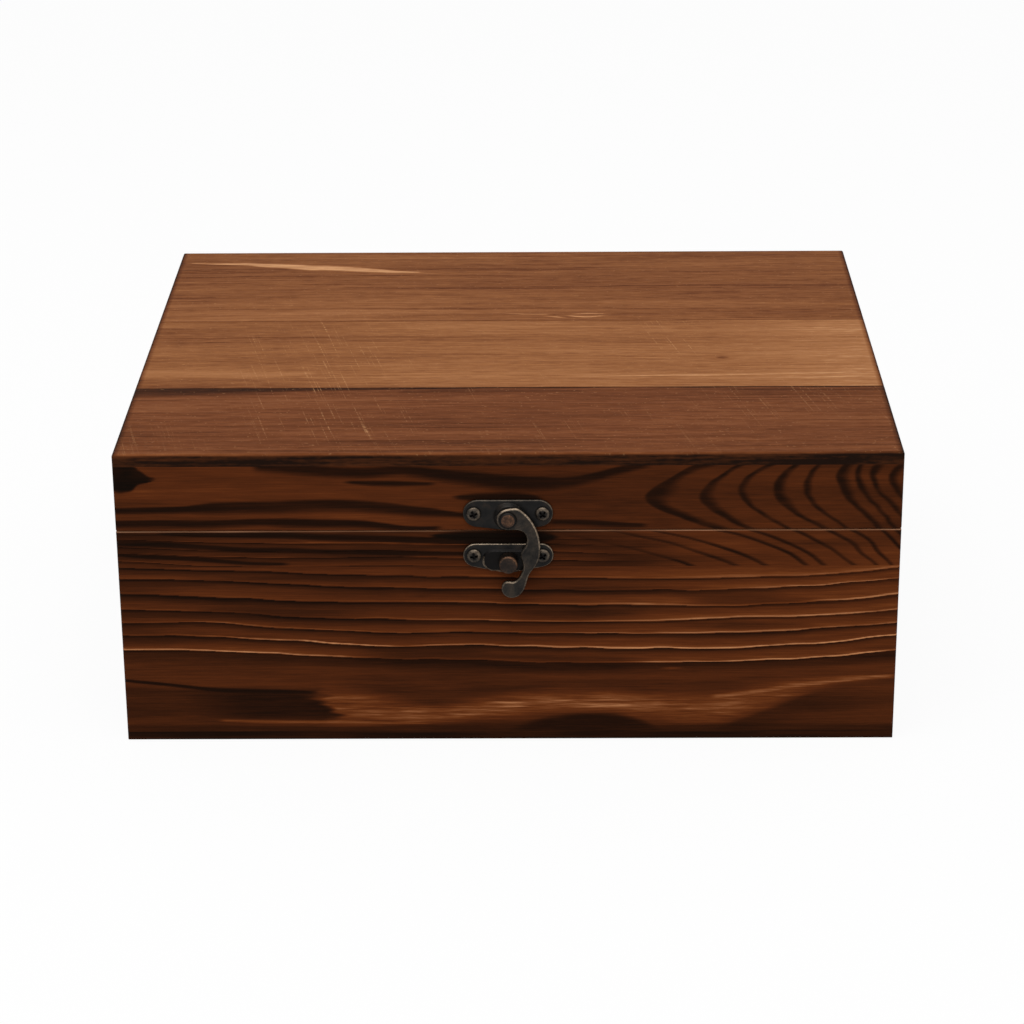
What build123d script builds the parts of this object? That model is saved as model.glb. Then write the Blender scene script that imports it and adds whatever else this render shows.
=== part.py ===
from build123d import *
import math
import os

# A wooden storage box with a hinged lid and a swing-hook hasp, in millimetres.
# X runs across the front, Y from front to back and Z up. The origin is the middle of the underside.

# Carcass: glued up closed, then sawn apart into base and lid
BOX_WIDTH = 240.0
BOX_DEPTH = 205.0
BASE_HEIGHT = 70.8
LID_HEIGHT = 25.0
LID_GAP = 0.3
WALL = 9.0
RABBET_LIP = 4.0
BOTTOM_THICKNESS = 3.0
TOP_THICKNESS = 4.0
TOP_FRONT_WIDTH = 59.4
TOP_MIDDLE_WIDTH = 66.3
FRONT_STRIP_HEIGHT = 11.8
CORNER_ROUND = 1.0
TOP_ROUND = 1.0
BOTTOM_ROUND = 0.8
RIM_BEVEL = 0.4

# Hasp plates: pressed sheet, with heights above (or below) the middle of the seam
SHEET = 0.8
SHEET_BEVEL = 0.25
HASP_PLATE_WIDTH = 27.4
HASP_PLATE_RISE = 5.8
HASP_END_RADIUS = 4.4
HASP_LOBE_RADIUS = 4.7
BOSS_FOOT_RADIUS = 4.5
BOSS_TOP_RADIUS = 3.7
BOSS_LIFT = 1.4
CATCH_PLATE_WIDTH = 27.6
CATCH_PLATE_DROP = 8.0
CATCH_END_RADIUS = 3.85
CATCH_LOBE_RADIUS = 4.4
PANEL_WIDTH = 16.0
PANEL_HEIGHT = 7.2
PANEL_LIFT = 0.7
PANEL_SLOPE_DEG = 40.0

# Swing hook, its rivet and the stud that it catches
RIVET_RISE = 4.9
HOOK_PITCH = 14.4
HOOK_THICKNESS = 1.5
HOOK_BEVEL = 0.4
HOOK_PLAY = 0.1
HOOK_RING_RADIUS = 3.5
RIVET_SHANK_RADIUS = 1.5
RIVET_HEAD_RADIUS = 2.6
RIVET_HEAD_HEIGHT = 1.2
RIVET_TAIL_RADIUS = 2.3
RIVET_TAIL_HEIGHT = 0.6
STUD_RADIUS = 2.9
STUD_HEIGHT = 4.1
STUD_BEVEL = 0.7
STUD_CLEARANCE = 0.5
STUD_TAIL_RADIUS = 1.8
STUD_TAIL_HEIGHT = 0.5
STUD_NECK_RADIUS = 1.2

# Hook outline from the rivet's axis, across and up, as shares of the pitch from rivet to stud
HOOK_BACK_SHARES = (
    (0.26, 0.22),
    (0.43, 0.06),
    (0.62, -0.29),
    (0.68, -0.68),
    (0.60, -1.03),
    (0.45, -1.25),
    (0.37, -1.50),
    (0.22, -1.75),
    (0.05, -1.80),
    (-0.11, -1.71),
    (-0.14, -1.55),
    (-0.06, -1.43),
)
HOOK_THROAT_SHARES = (
    (0.12, -1.42),
    (0.26, -1.27),
    (0.32, -1.04),
    (0.26, -0.79),
    (0.36, -0.62),
    (0.40, -0.44),
    (0.30, -0.27),
    (0.12, -0.24),
)
HOOK_RING_DEGREES = (270, 225, 180, 135, 90)
HOOK_ARC_COUNT = 20

# Butt hinges on the back
HINGE_SPACING = 140.0
LEAF_WIDTH = 25.0
LEAF_REACH = 11.0
LEAF_CORNER = 1.2
KNUCKLE_COUNT = 3
KNUCKLE_RADIUS = 2.0
KNUCKLE_END_GAP = 0.3
KNUCKLE_SIDE_GAP = 0.4
WOOD_CLEARANCE = 0.3
PIN_RADIUS = 1.0
PIN_OVERHANG = 0.5

# Screws with pan heads
HASP_SCREW_SPACING = 21.0
HASP_SCREW_RADIUS = 1.0
HASP_SCREW_LENGTH = 8.0
HASP_HEAD_RADIUS = 2.2
HASP_HEAD_HEIGHT = 1.1
HINGE_SCREW_SPACING = 14.0
HINGE_SCREW_REACH = 6.8
HINGE_SCREW_RADIUS = 0.85
HINGE_SCREW_LENGTH = 7.0
HINGE_HEAD_RADIUS = 1.7
HINGE_HEAD_HEIGHT = 0.9
DOME_SHARE = 0.8

# Fits and cuts
FIT = 0.05
OVERRUN = 2.0
TOLERANCE = 0.01
FILLET_LIMIT_SHARE = 0.45

# Places that follow from the sizes
HALF_WIDTH = BOX_WIDTH / 2
HALF_DEPTH = BOX_DEPTH / 2
LID_RIM = BASE_HEIGHT + LID_GAP
BOX_HEIGHT = LID_RIM + LID_HEIGHT
TOP_UNDERSIDE = BOX_HEIGHT - TOP_THICKNESS
GLUE_LINE = BASE_HEIGHT - FRONT_STRIP_HEIGHT
SEAM = BASE_HEIGHT + LID_GAP / 2
HOOK_SEAT = SHEET + BOSS_LIFT + HOOK_PLAY
STUD_RISE = RIVET_RISE - HOOK_PITCH
PIN_STANDOFF = WOOD_CLEARANCE + KNUCKLE_RADIUS
ENDS = (-1, 1)

# Faces that carry the metalwork: across, up from the seam, and out of the wood
FRONT = Plane.front * Pos(0, SEAM, HALF_DEPTH)
BACK = Plane.back * Pos(0, SEAM, HALF_DEPTH)
RISING = (Align.CENTER, Align.CENTER, Align.MIN)
SINKING = (Align.CENTER, Align.CENTER, Align.MAX)


def block(x_span, y_span, z_span):
    """A plain board between two places along each axis, given in either order."""
    spans = [sorted(span) for span in (x_span, y_span, z_span)]
    size = [high - low for low, high in spans]
    middle = [(low + high) / 2 for low, high in spans]
    return Pos(*middle) * Box(*size)


def limited(radius, wall):
    """A fillet's radius, held to what its wall can carry."""
    return min(radius, wall * FILLET_LIMIT_SHARE)


def round_corners(board, wall):
    """Rounds the upright edges that stand at the box's outer corners, where the board has any."""
    corners = [
        edge
        for edge in board.edges().filter_by(Axis.Z)
        if abs(edge.center().X) > HALF_WIDTH - TOLERANCE and abs(edge.center().Y) > HALF_DEPTH - TOLERANCE
    ]
    return fillet(corners, limited(CORNER_ROUND, wall)) if corners else board


def outside_edges(board, height):
    """The edges that run round the outside of the box at one height."""
    return [
        edge
        for edge in board.edges()
        if abs(edge.center().Z - height) < TOLERANCE
        and (
            abs(edge.center().X) > HALF_WIDTH - CORNER_ROUND
            or abs(edge.center().Y) > HALF_DEPTH - CORNER_ROUND
        )
    ]


def top_edges(solid):
    """The edges round a solid's upper face."""
    return solid.faces().sort_by(Axis.Z)[-1].edges()


def long_board(side, low, high):
    """A front (side -1) or back (side 1) board, rabbeted at both ends for the side boards."""
    inner = side * (HALF_DEPTH - WALL)
    seat = side * (HALF_DEPTH - RABBET_LIP)
    board = block((-HALF_WIDTH, HALF_WIDTH), (side * HALF_DEPTH, inner), (low, high))
    for end in ENDS:
        across = (end * (HALF_WIDTH - WALL), end * (HALF_WIDTH + OVERRUN))
        board -= block(across, (seat, inner - side * OVERRUN), (low - OVERRUN, high + OVERRUN))
    return round_corners(board, RABBET_LIP)


def side_board(end, low, high):
    """A left (end -1) or right (end 1) board, which seats in the rabbets."""
    reach = HALF_DEPTH - RABBET_LIP
    return block((end * (HALF_WIDTH - WALL), end * HALF_WIDTH), (-reach, reach), (low, high))


def top_board(front, back):
    """One of the boards that make the lid's top, with its outer edges rounded over."""
    board = block((-HALF_WIDTH, HALF_WIDTH), (front, back), (TOP_UNDERSIDE, BOX_HEIGHT))
    board = round_corners(board, TOP_THICKNESS)
    return fillet(outside_edges(board, BOX_HEIGHT), limited(TOP_ROUND, TOP_THICKNESS))


def bottom_panel():
    """The panel under the base's walls."""
    panel = block((-HALF_WIDTH, HALF_WIDTH), (-HALF_DEPTH, HALF_DEPTH), (0, BOTTOM_THICKNESS))
    panel = round_corners(panel, WALL)
    return fillet(outside_edges(panel, 0), limited(BOTTOM_ROUND, BOTTOM_THICKNESS))


def screw(radius, length, head_radius, head_height):
    """A screw with its seat at zero, its head up and its shank down."""
    head = Cylinder(head_radius, head_height, align=RISING)
    shank = Cylinder(radius, length, align=SINKING)
    return head + shank


def hasp_screw():
    """A screw for either hasp plate."""
    return screw(HASP_SCREW_RADIUS, HASP_SCREW_LENGTH, HASP_HEAD_RADIUS, HASP_HEAD_HEIGHT)


def hinge_screw():
    """A screw for any hinge leaf."""
    return screw(HINGE_SCREW_RADIUS, HINGE_SCREW_LENGTH, HINGE_HEAD_RADIUS, HINGE_HEAD_HEIGHT)


def screw_places(spacing, rise, centre=0):
    """Where a pair of screws stands: across and up from the seam."""
    return [(centre + end * spacing / 2, rise) for end in ENDS]


def set_screws(face, places, model):
    """Screws through the sheet that lies on a face, as one group."""
    return Part() + [face * Pos(across, up, SHEET) * model for across, up in places]


def pilot_holes(face, places, radius, length):
    """The room that those screws take in the wood."""
    depth = length - SHEET + FIT
    hole = Pos(0, 0, -depth) * Cylinder(radius + FIT, depth + OVERRUN, align=RISING)
    return [face * Pos(across, up) * hole for across, up in places]


def sheet_holes(places, radius):
    """The holes that those screws take in the sheet."""
    hole = Pos(0, 0, -OVERRUN) * Cylinder(radius + FIT, SHEET + OVERRUN + OVERRUN, align=RISING)
    return [Pos(across, up) * hole for across, up in places]


def plate_blank(width, rise, end_radius, lobe_radius, lobe_rise):
    """A flat plate with two round ends and a round lobe between them."""
    reach = width / 2 - end_radius
    circles = [Pos(end * reach, rise) * Circle(end_radius) for end in ENDS]
    circles.append(Pos(0, lobe_rise) * Circle(lobe_radius))
    outline = make_hull([circle.edge() for circle in circles])
    blank = extrude(outline, SHEET)
    return chamfer(top_edges(blank), limited(SHEET_BEVEL, SHEET))


def hasp_plate(places):
    """The plate on the lid, with a hollow pressed boss that lifts the hook over the screw heads."""
    blank = plate_blank(HASP_PLATE_WIDTH, HASP_PLATE_RISE, HASP_END_RADIUS, HASP_LOBE_RADIUS, RIVET_RISE)
    boss = Pos(0, RIVET_RISE, SHEET) * Cone(BOSS_FOOT_RADIUS, BOSS_TOP_RADIUS, BOSS_LIFT, align=RISING)
    hollow = Cone(BOSS_FOOT_RADIUS - SHEET, BOSS_TOP_RADIUS - SHEET, BOSS_LIFT, align=RISING)
    pivot = Cylinder(RIVET_SHANK_RADIUS + FIT, HOOK_SEAT, align=RISING)
    plate = blank + boss - Pos(0, RIVET_RISE) * hollow - Pos(0, RIVET_RISE) * pivot
    return FRONT * (plate - sheet_holes(places, HASP_SCREW_RADIUS))


def hasp_rivet():
    """The rivet that the hook turns on, set in the boss."""
    head = Cylinder(RIVET_HEAD_RADIUS, RIVET_HEAD_HEIGHT, align=RISING)
    head = chamfer(top_edges(head), RIVET_HEAD_HEIGHT * DOME_SHARE)
    shank_length = HOOK_PLAY + HOOK_THICKNESS + HOOK_PLAY + SHEET
    shank = Cylinder(RIVET_SHANK_RADIUS, shank_length, align=SINKING)
    tail = Pos(0, 0, -shank_length) * Cylinder(RIVET_TAIL_RADIUS, RIVET_TAIL_HEIGHT, align=SINKING)
    return FRONT * Pos(0, RIVET_RISE, HOOK_SEAT + HOOK_THICKNESS + HOOK_PLAY) * (head + shank + tail)


def arc_pair(start, start_way, end, end_way):
    """Two arcs that leave one point and reach another along given ways, and meet smoothly."""
    chord = end - start
    ways = start_way + end_way
    turn = 2 * (1 - start_way.dot(end_way))
    reach = (math.sqrt(chord.dot(ways) ** 2 + turn * chord.dot(chord)) - chord.dot(ways)) / turn
    meeting = (start + end + (start_way - end_way) * reach) / 2
    first = TangentArc(start, meeting, tangent=start_way)
    return [first, TangentArc(meeting, end, tangent=first % 1)]


def arcs_along(curve, count):
    """A closed curve redrawn as a smooth chain of arcs, which facets lightly."""
    chain = []
    for index in range(count):
        start, end = index / count, (index + 1) / count % 1
        chain += arc_pair(curve @ start, curve % start, curve @ end, curve % end)
    return Curve() + chain


def hasp_hook():
    """The hook: a ring on the rivet, a back that bows round the stud and a finger tail below it."""
    bow = [Vector(*share) * HOOK_PITCH for share in HOOK_BACK_SHARES]
    throat = [Vector(*share) * HOOK_PITCH for share in HOOK_THROAT_SHARES]
    ring = [Vector(HOOK_RING_RADIUS, 0).rotate(Axis.Z, degrees) for degrees in HOOK_RING_DEGREES]
    body = make_face(arcs_along(Spline(*bow, *throat, *ring, periodic=True), HOOK_ARC_COUNT))
    room = Pos(0, -HOOK_PITCH) * Circle(STUD_RADIUS + STUD_CLEARANCE)
    hook = extrude(body - room, HOOK_THICKNESS)
    hook = chamfer(top_edges(hook), limited(HOOK_BEVEL, HOOK_THICKNESS))
    hook -= Cylinder(RIVET_SHANK_RADIUS + FIT, HOOK_THICKNESS + OVERRUN, align=RISING)
    return FRONT * Pos(0, RIVET_RISE, HOOK_SEAT) * hook


def catch_panel(inset):
    """The raised middle of the catch plate, drawn in by an inset."""
    outline = SlotOverall(PANEL_WIDTH - inset - inset, PANEL_HEIGHT - inset - inset)
    return Pos(0, STUD_RISE) * extrude(outline, PANEL_LIFT, taper=PANEL_SLOPE_DEG)


def catch_plate(places):
    """The plate on the base, with a raised middle that carries the stud."""
    blank = plate_blank(CATCH_PLATE_WIDTH, -CATCH_PLATE_DROP, CATCH_END_RADIUS, CATCH_LOBE_RADIUS, STUD_RISE)
    neck = Pos(0, STUD_RISE) * Cylinder(STUD_NECK_RADIUS + FIT, SHEET + PANEL_LIFT, align=RISING)
    plate = blank + Pos(0, 0, SHEET) * catch_panel(0) - catch_panel(SHEET) - neck
    return FRONT * (plate - sheet_holes(places, HASP_SCREW_RADIUS))


def catch_stud():
    """The round post that the hook swings behind, riveted through the catch plate."""
    post = Cylinder(STUD_RADIUS, STUD_HEIGHT, align=RISING)
    post = chamfer(top_edges(post), limited(STUD_BEVEL, STUD_RADIUS))
    neck = Cylinder(STUD_NECK_RADIUS, SHEET, align=SINKING)
    tail = Pos(0, 0, -SHEET) * Cylinder(STUD_TAIL_RADIUS, STUD_TAIL_HEIGHT, align=SINKING)
    return FRONT * Pos(0, STUD_RISE, SHEET + PANEL_LIFT) * (post + neck + tail)


def hinge_leaf(centre, side, places):
    """A leaf that reaches up (side 1) or down (side -1) from the pin, with its share of the knuckles."""
    step = LEAF_WIDTH / KNUCKLE_COUNT
    clear = KNUCKLE_RADIUS + KNUCKLE_SIDE_GAP
    half_leaf = LEAF_WIDTH / 2
    leaf = block((-half_leaf, half_leaf), (side * clear, side * LEAF_REACH), (0, SHEET))
    far_corners = leaf.edges().filter_by(Axis.Z).group_by(Axis.Y)[-1 if side > 0 else 0]
    leaf = fillet(far_corners, LEAF_CORNER)
    half_knuckle = (step - KNUCKLE_END_GAP) / 2
    first = 1 if side > 0 else 0
    for index in range(first, KNUCKLE_COUNT, 2):
        middle = step * (index - (KNUCKLE_COUNT - 1) / 2)
        leaf += block((middle - half_knuckle, middle + half_knuckle), (0, side * clear), (0, SHEET))
        knuckle = Rot(0, 90, 0) * Cylinder(KNUCKLE_RADIUS, half_knuckle + half_knuckle)
        leaf += Pos(middle, 0, PIN_STANDOFF) * knuckle
    bore = Rot(0, 90, 0) * Cylinder(PIN_RADIUS + FIT, LEAF_WIDTH + OVERRUN)
    leaf -= Pos(0, 0, PIN_STANDOFF) * bore
    leaf = Pos(centre, 0) * leaf - sheet_holes(places, HINGE_SCREW_RADIUS)
    return BACK * leaf


def hinge_pin(centre):
    """The pin that both leaves of a hinge turn on."""
    pin = Rot(0, 90, 0) * Cylinder(PIN_RADIUS, LEAF_WIDTH + PIN_OVERHANG + PIN_OVERHANG)
    return BACK * Pos(centre, 0, PIN_STANDOFF) * pin


def hinge_nodes():
    """Both hinges with their screws, and the holes that these take in the lid and the base."""
    nodes = {}
    holes = {"lid": [], "base": []}
    # seen from behind, the left-hand hinge lies to the right
    for name, end in (("left", 1), ("right", -1)):
        centre = end * HINGE_SPACING / 2
        nodes[f"{name}_hinge_pin"] = hinge_pin(centre)
        for part, side in (("lid", 1), ("base", -1)):
            places = screw_places(HINGE_SCREW_SPACING, side * HINGE_SCREW_REACH, centre)
            nodes[f"{name}_hinge_{part}_leaf"] = hinge_leaf(centre, side, places)
            nodes[f"{name}_hinge_{part}_screws"] = set_screws(BACK, places, hinge_screw())
            holes[part] += pilot_holes(BACK, places, HINGE_SCREW_RADIUS, HINGE_SCREW_LENGTH)
    return nodes, holes


def hasp_nodes():
    """Both hasp plates with hook, rivet, stud and screws, and the screws' holes."""
    upper = screw_places(HASP_SCREW_SPACING, HASP_PLATE_RISE)
    lower = screw_places(HASP_SCREW_SPACING, -CATCH_PLATE_DROP)
    nodes = {
        "hasp_plate": hasp_plate(upper),
        "hasp_plate_screws": set_screws(FRONT, upper, hasp_screw()),
        "hasp_rivet": hasp_rivet(),
        "hasp_hook": hasp_hook(),
        "catch_plate": catch_plate(lower),
        "catch_plate_screws": set_screws(FRONT, lower, hasp_screw()),
        "catch_stud": catch_stud(),
    }
    holes = {
        "lid": pilot_holes(FRONT, upper, HASP_SCREW_RADIUS, HASP_SCREW_LENGTH),
        "base": pilot_holes(FRONT, lower, HASP_SCREW_RADIUS, HASP_SCREW_LENGTH),
    }
    return nodes, holes


def base_nodes(front_holes, back_holes):
    """The base's walls, with the front glued up from two boards, and the bottom."""
    bevel = limited(RIM_BEVEL, WALL)
    walls = {
        "base_front_upper_board": long_board(-1, GLUE_LINE, BASE_HEIGHT) - front_holes,
        "base_back_board": long_board(1, BOTTOM_THICKNESS, BASE_HEIGHT) - back_holes,
        "base_left_board": side_board(-1, BOTTOM_THICKNESS, BASE_HEIGHT),
        "base_right_board": side_board(1, BOTTOM_THICKNESS, BASE_HEIGHT),
    }
    nodes = {name: chamfer(outside_edges(board, BASE_HEIGHT), bevel) for name, board in walls.items()}
    nodes["base_front_lower_board"] = long_board(-1, BOTTOM_THICKNESS, GLUE_LINE) - front_holes
    nodes["base_bottom_panel"] = bottom_panel()
    return nodes


def lid_nodes(front_holes, back_holes):
    """The lid's rails, sawn off the same walls, and the three boards of its top."""
    bevel = limited(RIM_BEVEL, WALL)
    rails = {
        "lid_front_rail": long_board(-1, LID_RIM, TOP_UNDERSIDE) - front_holes,
        "lid_back_rail": long_board(1, LID_RIM, TOP_UNDERSIDE) - back_holes,
        "lid_left_rail": side_board(-1, LID_RIM, TOP_UNDERSIDE),
        "lid_right_rail": side_board(1, LID_RIM, TOP_UNDERSIDE),
    }
    nodes = {name: chamfer(outside_edges(rail, LID_RIM), bevel) for name, rail in rails.items()}
    front_joint = TOP_FRONT_WIDTH - HALF_DEPTH
    back_joint = front_joint + TOP_MIDDLE_WIDTH
    nodes["lid_top_front_board"] = top_board(-HALF_DEPTH, front_joint)
    nodes["lid_top_middle_board"] = top_board(front_joint, back_joint)
    nodes["lid_top_back_board"] = top_board(back_joint, HALF_DEPTH)
    return nodes


hasp, hasp_holes = hasp_nodes()
hinges, hinge_holes = hinge_nodes()
base = base_nodes(hasp_holes["base"], hinge_holes["base"])
lid = lid_nodes(hasp_holes["lid"], hinge_holes["lid"])

os.makedirs("parts", exist_ok=True)
for node_name, shape in {**base, **lid, **hasp, **hinges}.items():
    export_step(shape, f"parts/{node_name}.step")
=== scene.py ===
import math

import bmesh
import bpy
import numpy as np
from mathutils import Euler, Matrix, Vector


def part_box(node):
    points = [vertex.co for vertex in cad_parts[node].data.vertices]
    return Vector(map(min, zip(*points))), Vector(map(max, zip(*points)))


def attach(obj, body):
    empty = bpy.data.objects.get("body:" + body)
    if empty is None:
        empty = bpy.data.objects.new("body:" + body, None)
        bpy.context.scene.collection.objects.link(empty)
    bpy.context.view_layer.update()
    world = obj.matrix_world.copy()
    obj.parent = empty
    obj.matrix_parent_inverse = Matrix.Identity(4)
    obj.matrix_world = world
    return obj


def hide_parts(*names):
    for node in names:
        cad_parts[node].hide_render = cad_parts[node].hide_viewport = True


# A wooden storage box of torched softwood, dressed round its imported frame, in metres.
# Each board is a dense closed mesh. Its growth rings are painted on it as a tone and carved as relief.

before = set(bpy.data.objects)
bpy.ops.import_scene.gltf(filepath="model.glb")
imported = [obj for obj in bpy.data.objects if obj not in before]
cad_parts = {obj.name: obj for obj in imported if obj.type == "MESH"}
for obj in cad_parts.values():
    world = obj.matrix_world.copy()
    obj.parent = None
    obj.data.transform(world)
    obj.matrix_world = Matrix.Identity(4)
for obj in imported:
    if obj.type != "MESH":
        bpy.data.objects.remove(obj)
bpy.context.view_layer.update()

MM = 0.001
TINY = 1e-6
QUARTER = math.pi / 2

# Sizes read from the frame
side_low, side_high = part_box("base_right_board")
front_low, front_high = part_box("base_front_lower_board")
top_low, top_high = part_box("lid_top_front_board")
HALF_WIDTH = side_high.x
INNER_X = side_low.x
LIP_Y = side_high.y
HALF_DEPTH = -front_low.y
INNER_Y = -front_high.y
BOX_HEIGHT = top_high.z

# Finish of the woodwork
CORNER_ROUND = 1.0 * MM
TOP_ROUND = 1.0 * MM
BOTTOM_ROUND = 0.8 * MM
RIM_BEVEL = 0.4 * MM
SEAM_BEVEL = 0.25 * MM
ROUND_STEPS = 5
SHOW_STEP = 1.2 * MM
FRONT_STEP = 0.5 * MM
LEVEL_STEP = 0.32 * MM
TOP_LEVEL_STEP = 1.2 * MM
TOP_STEP = 0.4 * MM
PLAIN_STEP = 4.0 * MM
RELIEF = 0.28 * MM
TOP_RELIEF = 0.06 * MM
RELIEF_FADE = 1.2 * MM
WOOD_SHARP = math.radians(35)

# Fields: the factors of a hash, how a path is smoothed, and how a streak's ends fade

HASH_ACROSS = np.uint32(374761393)
HASH_UP = np.uint32(668265263)
HASH_STIR = np.uint32(1274126177)
HASH_SEED = 69069
HASH_REACH = 0xFFFF
PATH_LAGS = (-0.02, -0.01, 0, 0.01, 0.02)
BAND_END_OUT = 0.004
BAND_END_IN = 0.012


def smooth(low, high, value):
    """Rises smoothly from 0 at low to 1 at high."""
    share = np.clip((value - low) / (high - low), 0, 1)
    return share * share * (3 - 2 * share)


def window(start, full, fade, end, value):
    """1 between full and fade, falling smoothly to 0 at start and end."""
    return smooth(start, full, value) * smooth(end, fade, value)


def lattice(i, j, seed):
    """A repeatable value from -1 to 1 at each point of a grid of whole numbers."""
    mixed = i.astype(np.uint32) * HASH_ACROSS
    mixed = mixed + j.astype(np.uint32) * HASH_UP + np.uint32(seed * HASH_SEED + 1)
    mixed = (mixed ^ (mixed >> np.uint32(13))) * HASH_STIR
    mixed = mixed ^ (mixed >> np.uint32(16))
    return (mixed & np.uint32(HASH_REACH)) / (HASH_REACH / 2) - 1


def drift(u, v, seed):
    """Smooth noise from -1 to 1 over a plane, with features about one unit across."""
    i, j = np.floor(u).astype(np.int64), np.floor(v).astype(np.int64)
    fu, fv = smooth(0, 1, u - i), smooth(0, 1, v - j)
    low = lattice(i, j, seed) * (1 - fu) + lattice(i + 1, j, seed) * fu
    high = lattice(i, j + 1, seed) * (1 - fu) + lattice(i + 1, j + 1, seed) * fu
    return low * (1 - fv) + high * fv


def layers(u, v, *rows):
    """A sum of noises, each a strength, counts across and up, and a seed."""
    return sum(strength * drift(u * across, v * up, seed) for strength, across, up, seed in rows)


def patches(along, up, *rows):
    """A sum of noises, each a strength, a length and a width in metres, and a seed."""
    return sum(strength * drift(along / length, up / width, seed) for strength, length, width, seed in rows)


def lookup(value, table):
    """What a table of pairs gives for a value, straight between its rows."""
    return np.interp(value, *zip(*table))


def path(u, points):
    """A smooth line through points, each starting with an across and an up share."""
    across, up = list(zip(*points))[:2]
    return sum(np.interp(u + lag, across, up) for lag in PATH_LAGS) / len(PATH_LAGS)


def band(u, v, points, soft=0.5, trail=1.0):
    """1 along a streak, fading at its edges, and more slowly below itself with a trail under 1."""
    across, _, halves = zip(*points)
    start, end = across[0], across[-1]
    inside = window(start - BAND_END_OUT, start + BAND_END_IN, end - BAND_END_IN, end + BAND_END_OUT, u)
    off = (v - path(u, points)) / np.maximum(np.interp(u, across, halves), TINY)
    return inside * smooth(1 + soft, 1 - soft, off) * smooth((1 + soft) / trail, 1 - soft, -off)


def toward(tone, aim, amount):
    """Moves a tone towards an aim by an amount from 0 to 1."""
    return tone + (aim - tone) * np.clip(amount, 0, 1)


def strokes(tone, u, v, aim, strength, soft, *streaks):
    """Lays streaks over a tone, each along its own points."""
    for points in streaks:
        tone = toward(tone, aim, strength * band(u, v, points, soft))
    return tone


# Figure of the boards: a tone from 0, charred, to 1, bare pale wood.
# Places and thicknesses are shares of a board's face, from its left and from its foot.

CHAR = 0.04
GROUND = 0.52

# From one brushed ridge down to the next: a dark groove, charred and with painted shadow, then a slow rise
# painted lighter as it faces up, to the next crest, worn and with a painted highlight
RIDGE_TONES = ((0.0, 0.13), (0.08, 0.16), (0.2, 0.34), (0.45, 0.46), (0.84, 0.55), (0.93, 0.62), (1.0, 0.42))
RIDGE_HEIGHTS = ((0.0, 0.0), (0.1, 0.05), (0.3, 0.35), (0.92, 1.0), (1.0, 0.7))
CREST = (0.84, 0.91, 0.96, 1.0)

# Back and side boards: the bow of their ridges, the noise between crests, and how strong crests (worn and
# with painted highlights) and burns are
BOW = 5.0 * MM
BOW_LENGTH = 110 * MM
CREST_SPREAD = 3.7
STRAIGHT_CREST = 0.32
STRAIGHT_BURN = 0.7


def straight_figure(along, up, seed, spacing):
    """Long brushed ridges for a board that runs along one axis, in metres."""
    wander = patches(along, up, (2.2 * MM, 0.07, 0.03, seed), (0.5 * MM, 0.02, 0.012, seed + 1))
    level = -up + wander + BOW * np.cos(along / BOW_LENGTH + seed)
    ring = level / spacing + patches(level, 0 * up, (0.9, 0.017, 1, seed + 2))
    fall = ring - np.floor(ring)
    lively = smooth(-0.3, 0.9, drift(along / 0.06, np.round(ring) * CREST_SPREAD, seed + 3))
    # The ridge tones paint shadow in the grooves and highlights on the crests
    tone = lookup(fall, RIDGE_TONES) + STRAIGHT_CREST * window(*CREST, fall) * lively
    tone = tone + patches(along, level, (0.06, 0.05, 0.001, seed + 6))
    tone = tone + patches(along, up, (0.12, 0.09, 0.012, seed + 4))
    burnt = smooth(0.25, 0.8, patches(along, up, (1, 0.075, 0.011, seed + 5)))
    return {"tone": toward(tone, CHAR, STRAIGHT_BURN * burnt), "height": lookup(fall, RIDGE_HEIGHTS)}


def rings_at(level, ridges):
    """Counts the ridges from the top down to each level, and how far it has fallen to the next."""
    ring = np.interp(-level, [-share for share in ridges], np.arange(len(ridges)))
    return ring, ring - np.floor(ring)


def by_ring(ring, shares):
    """The share that belongs to the nearest ridge."""
    return np.array(shares)[np.round(ring).astype(int)]


# Lower front board: the heights of its ridges from the top, how pale each crest's wear and painted highlight
# is, and how they sag
RIDGES = (1.05, 0.925, 0.855, 0.765, 0.675, 0.598, 0.511, 0.424, 0.30)
RIDGE_PALE = (0.0, 0.10, 0.30, 0.45, 0.50, 0.40, 0.78, 0.72, 0.1)
RIDGE_PALE_LEFT = (0.0, 0.05, 0.08, 0.12, 0.25, 0.35, 1.00, 0.70, 0.1)
RIDGE_SAG = ((0.0, 0.078), (0.07, 0.07), (0.19, 0.045), (0.28, 0.022), (0.4, 0.006), (0.6, -0.004),
             (0.76, -0.004), (0.88, 0.014), (0.93, 0.03), (1.0, 0.066))
CREST_LIGHT = ((0.0, 0.6), (0.25, 0.55), (0.4, 0.45), (0.55, 0.48), (0.75, 0.52), (1.0, 0.6))
CREST_STRENGTH = 0.75
SOOT_TONE = 0.15
LAST_RIDGE = (0.418, 0.405)

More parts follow.
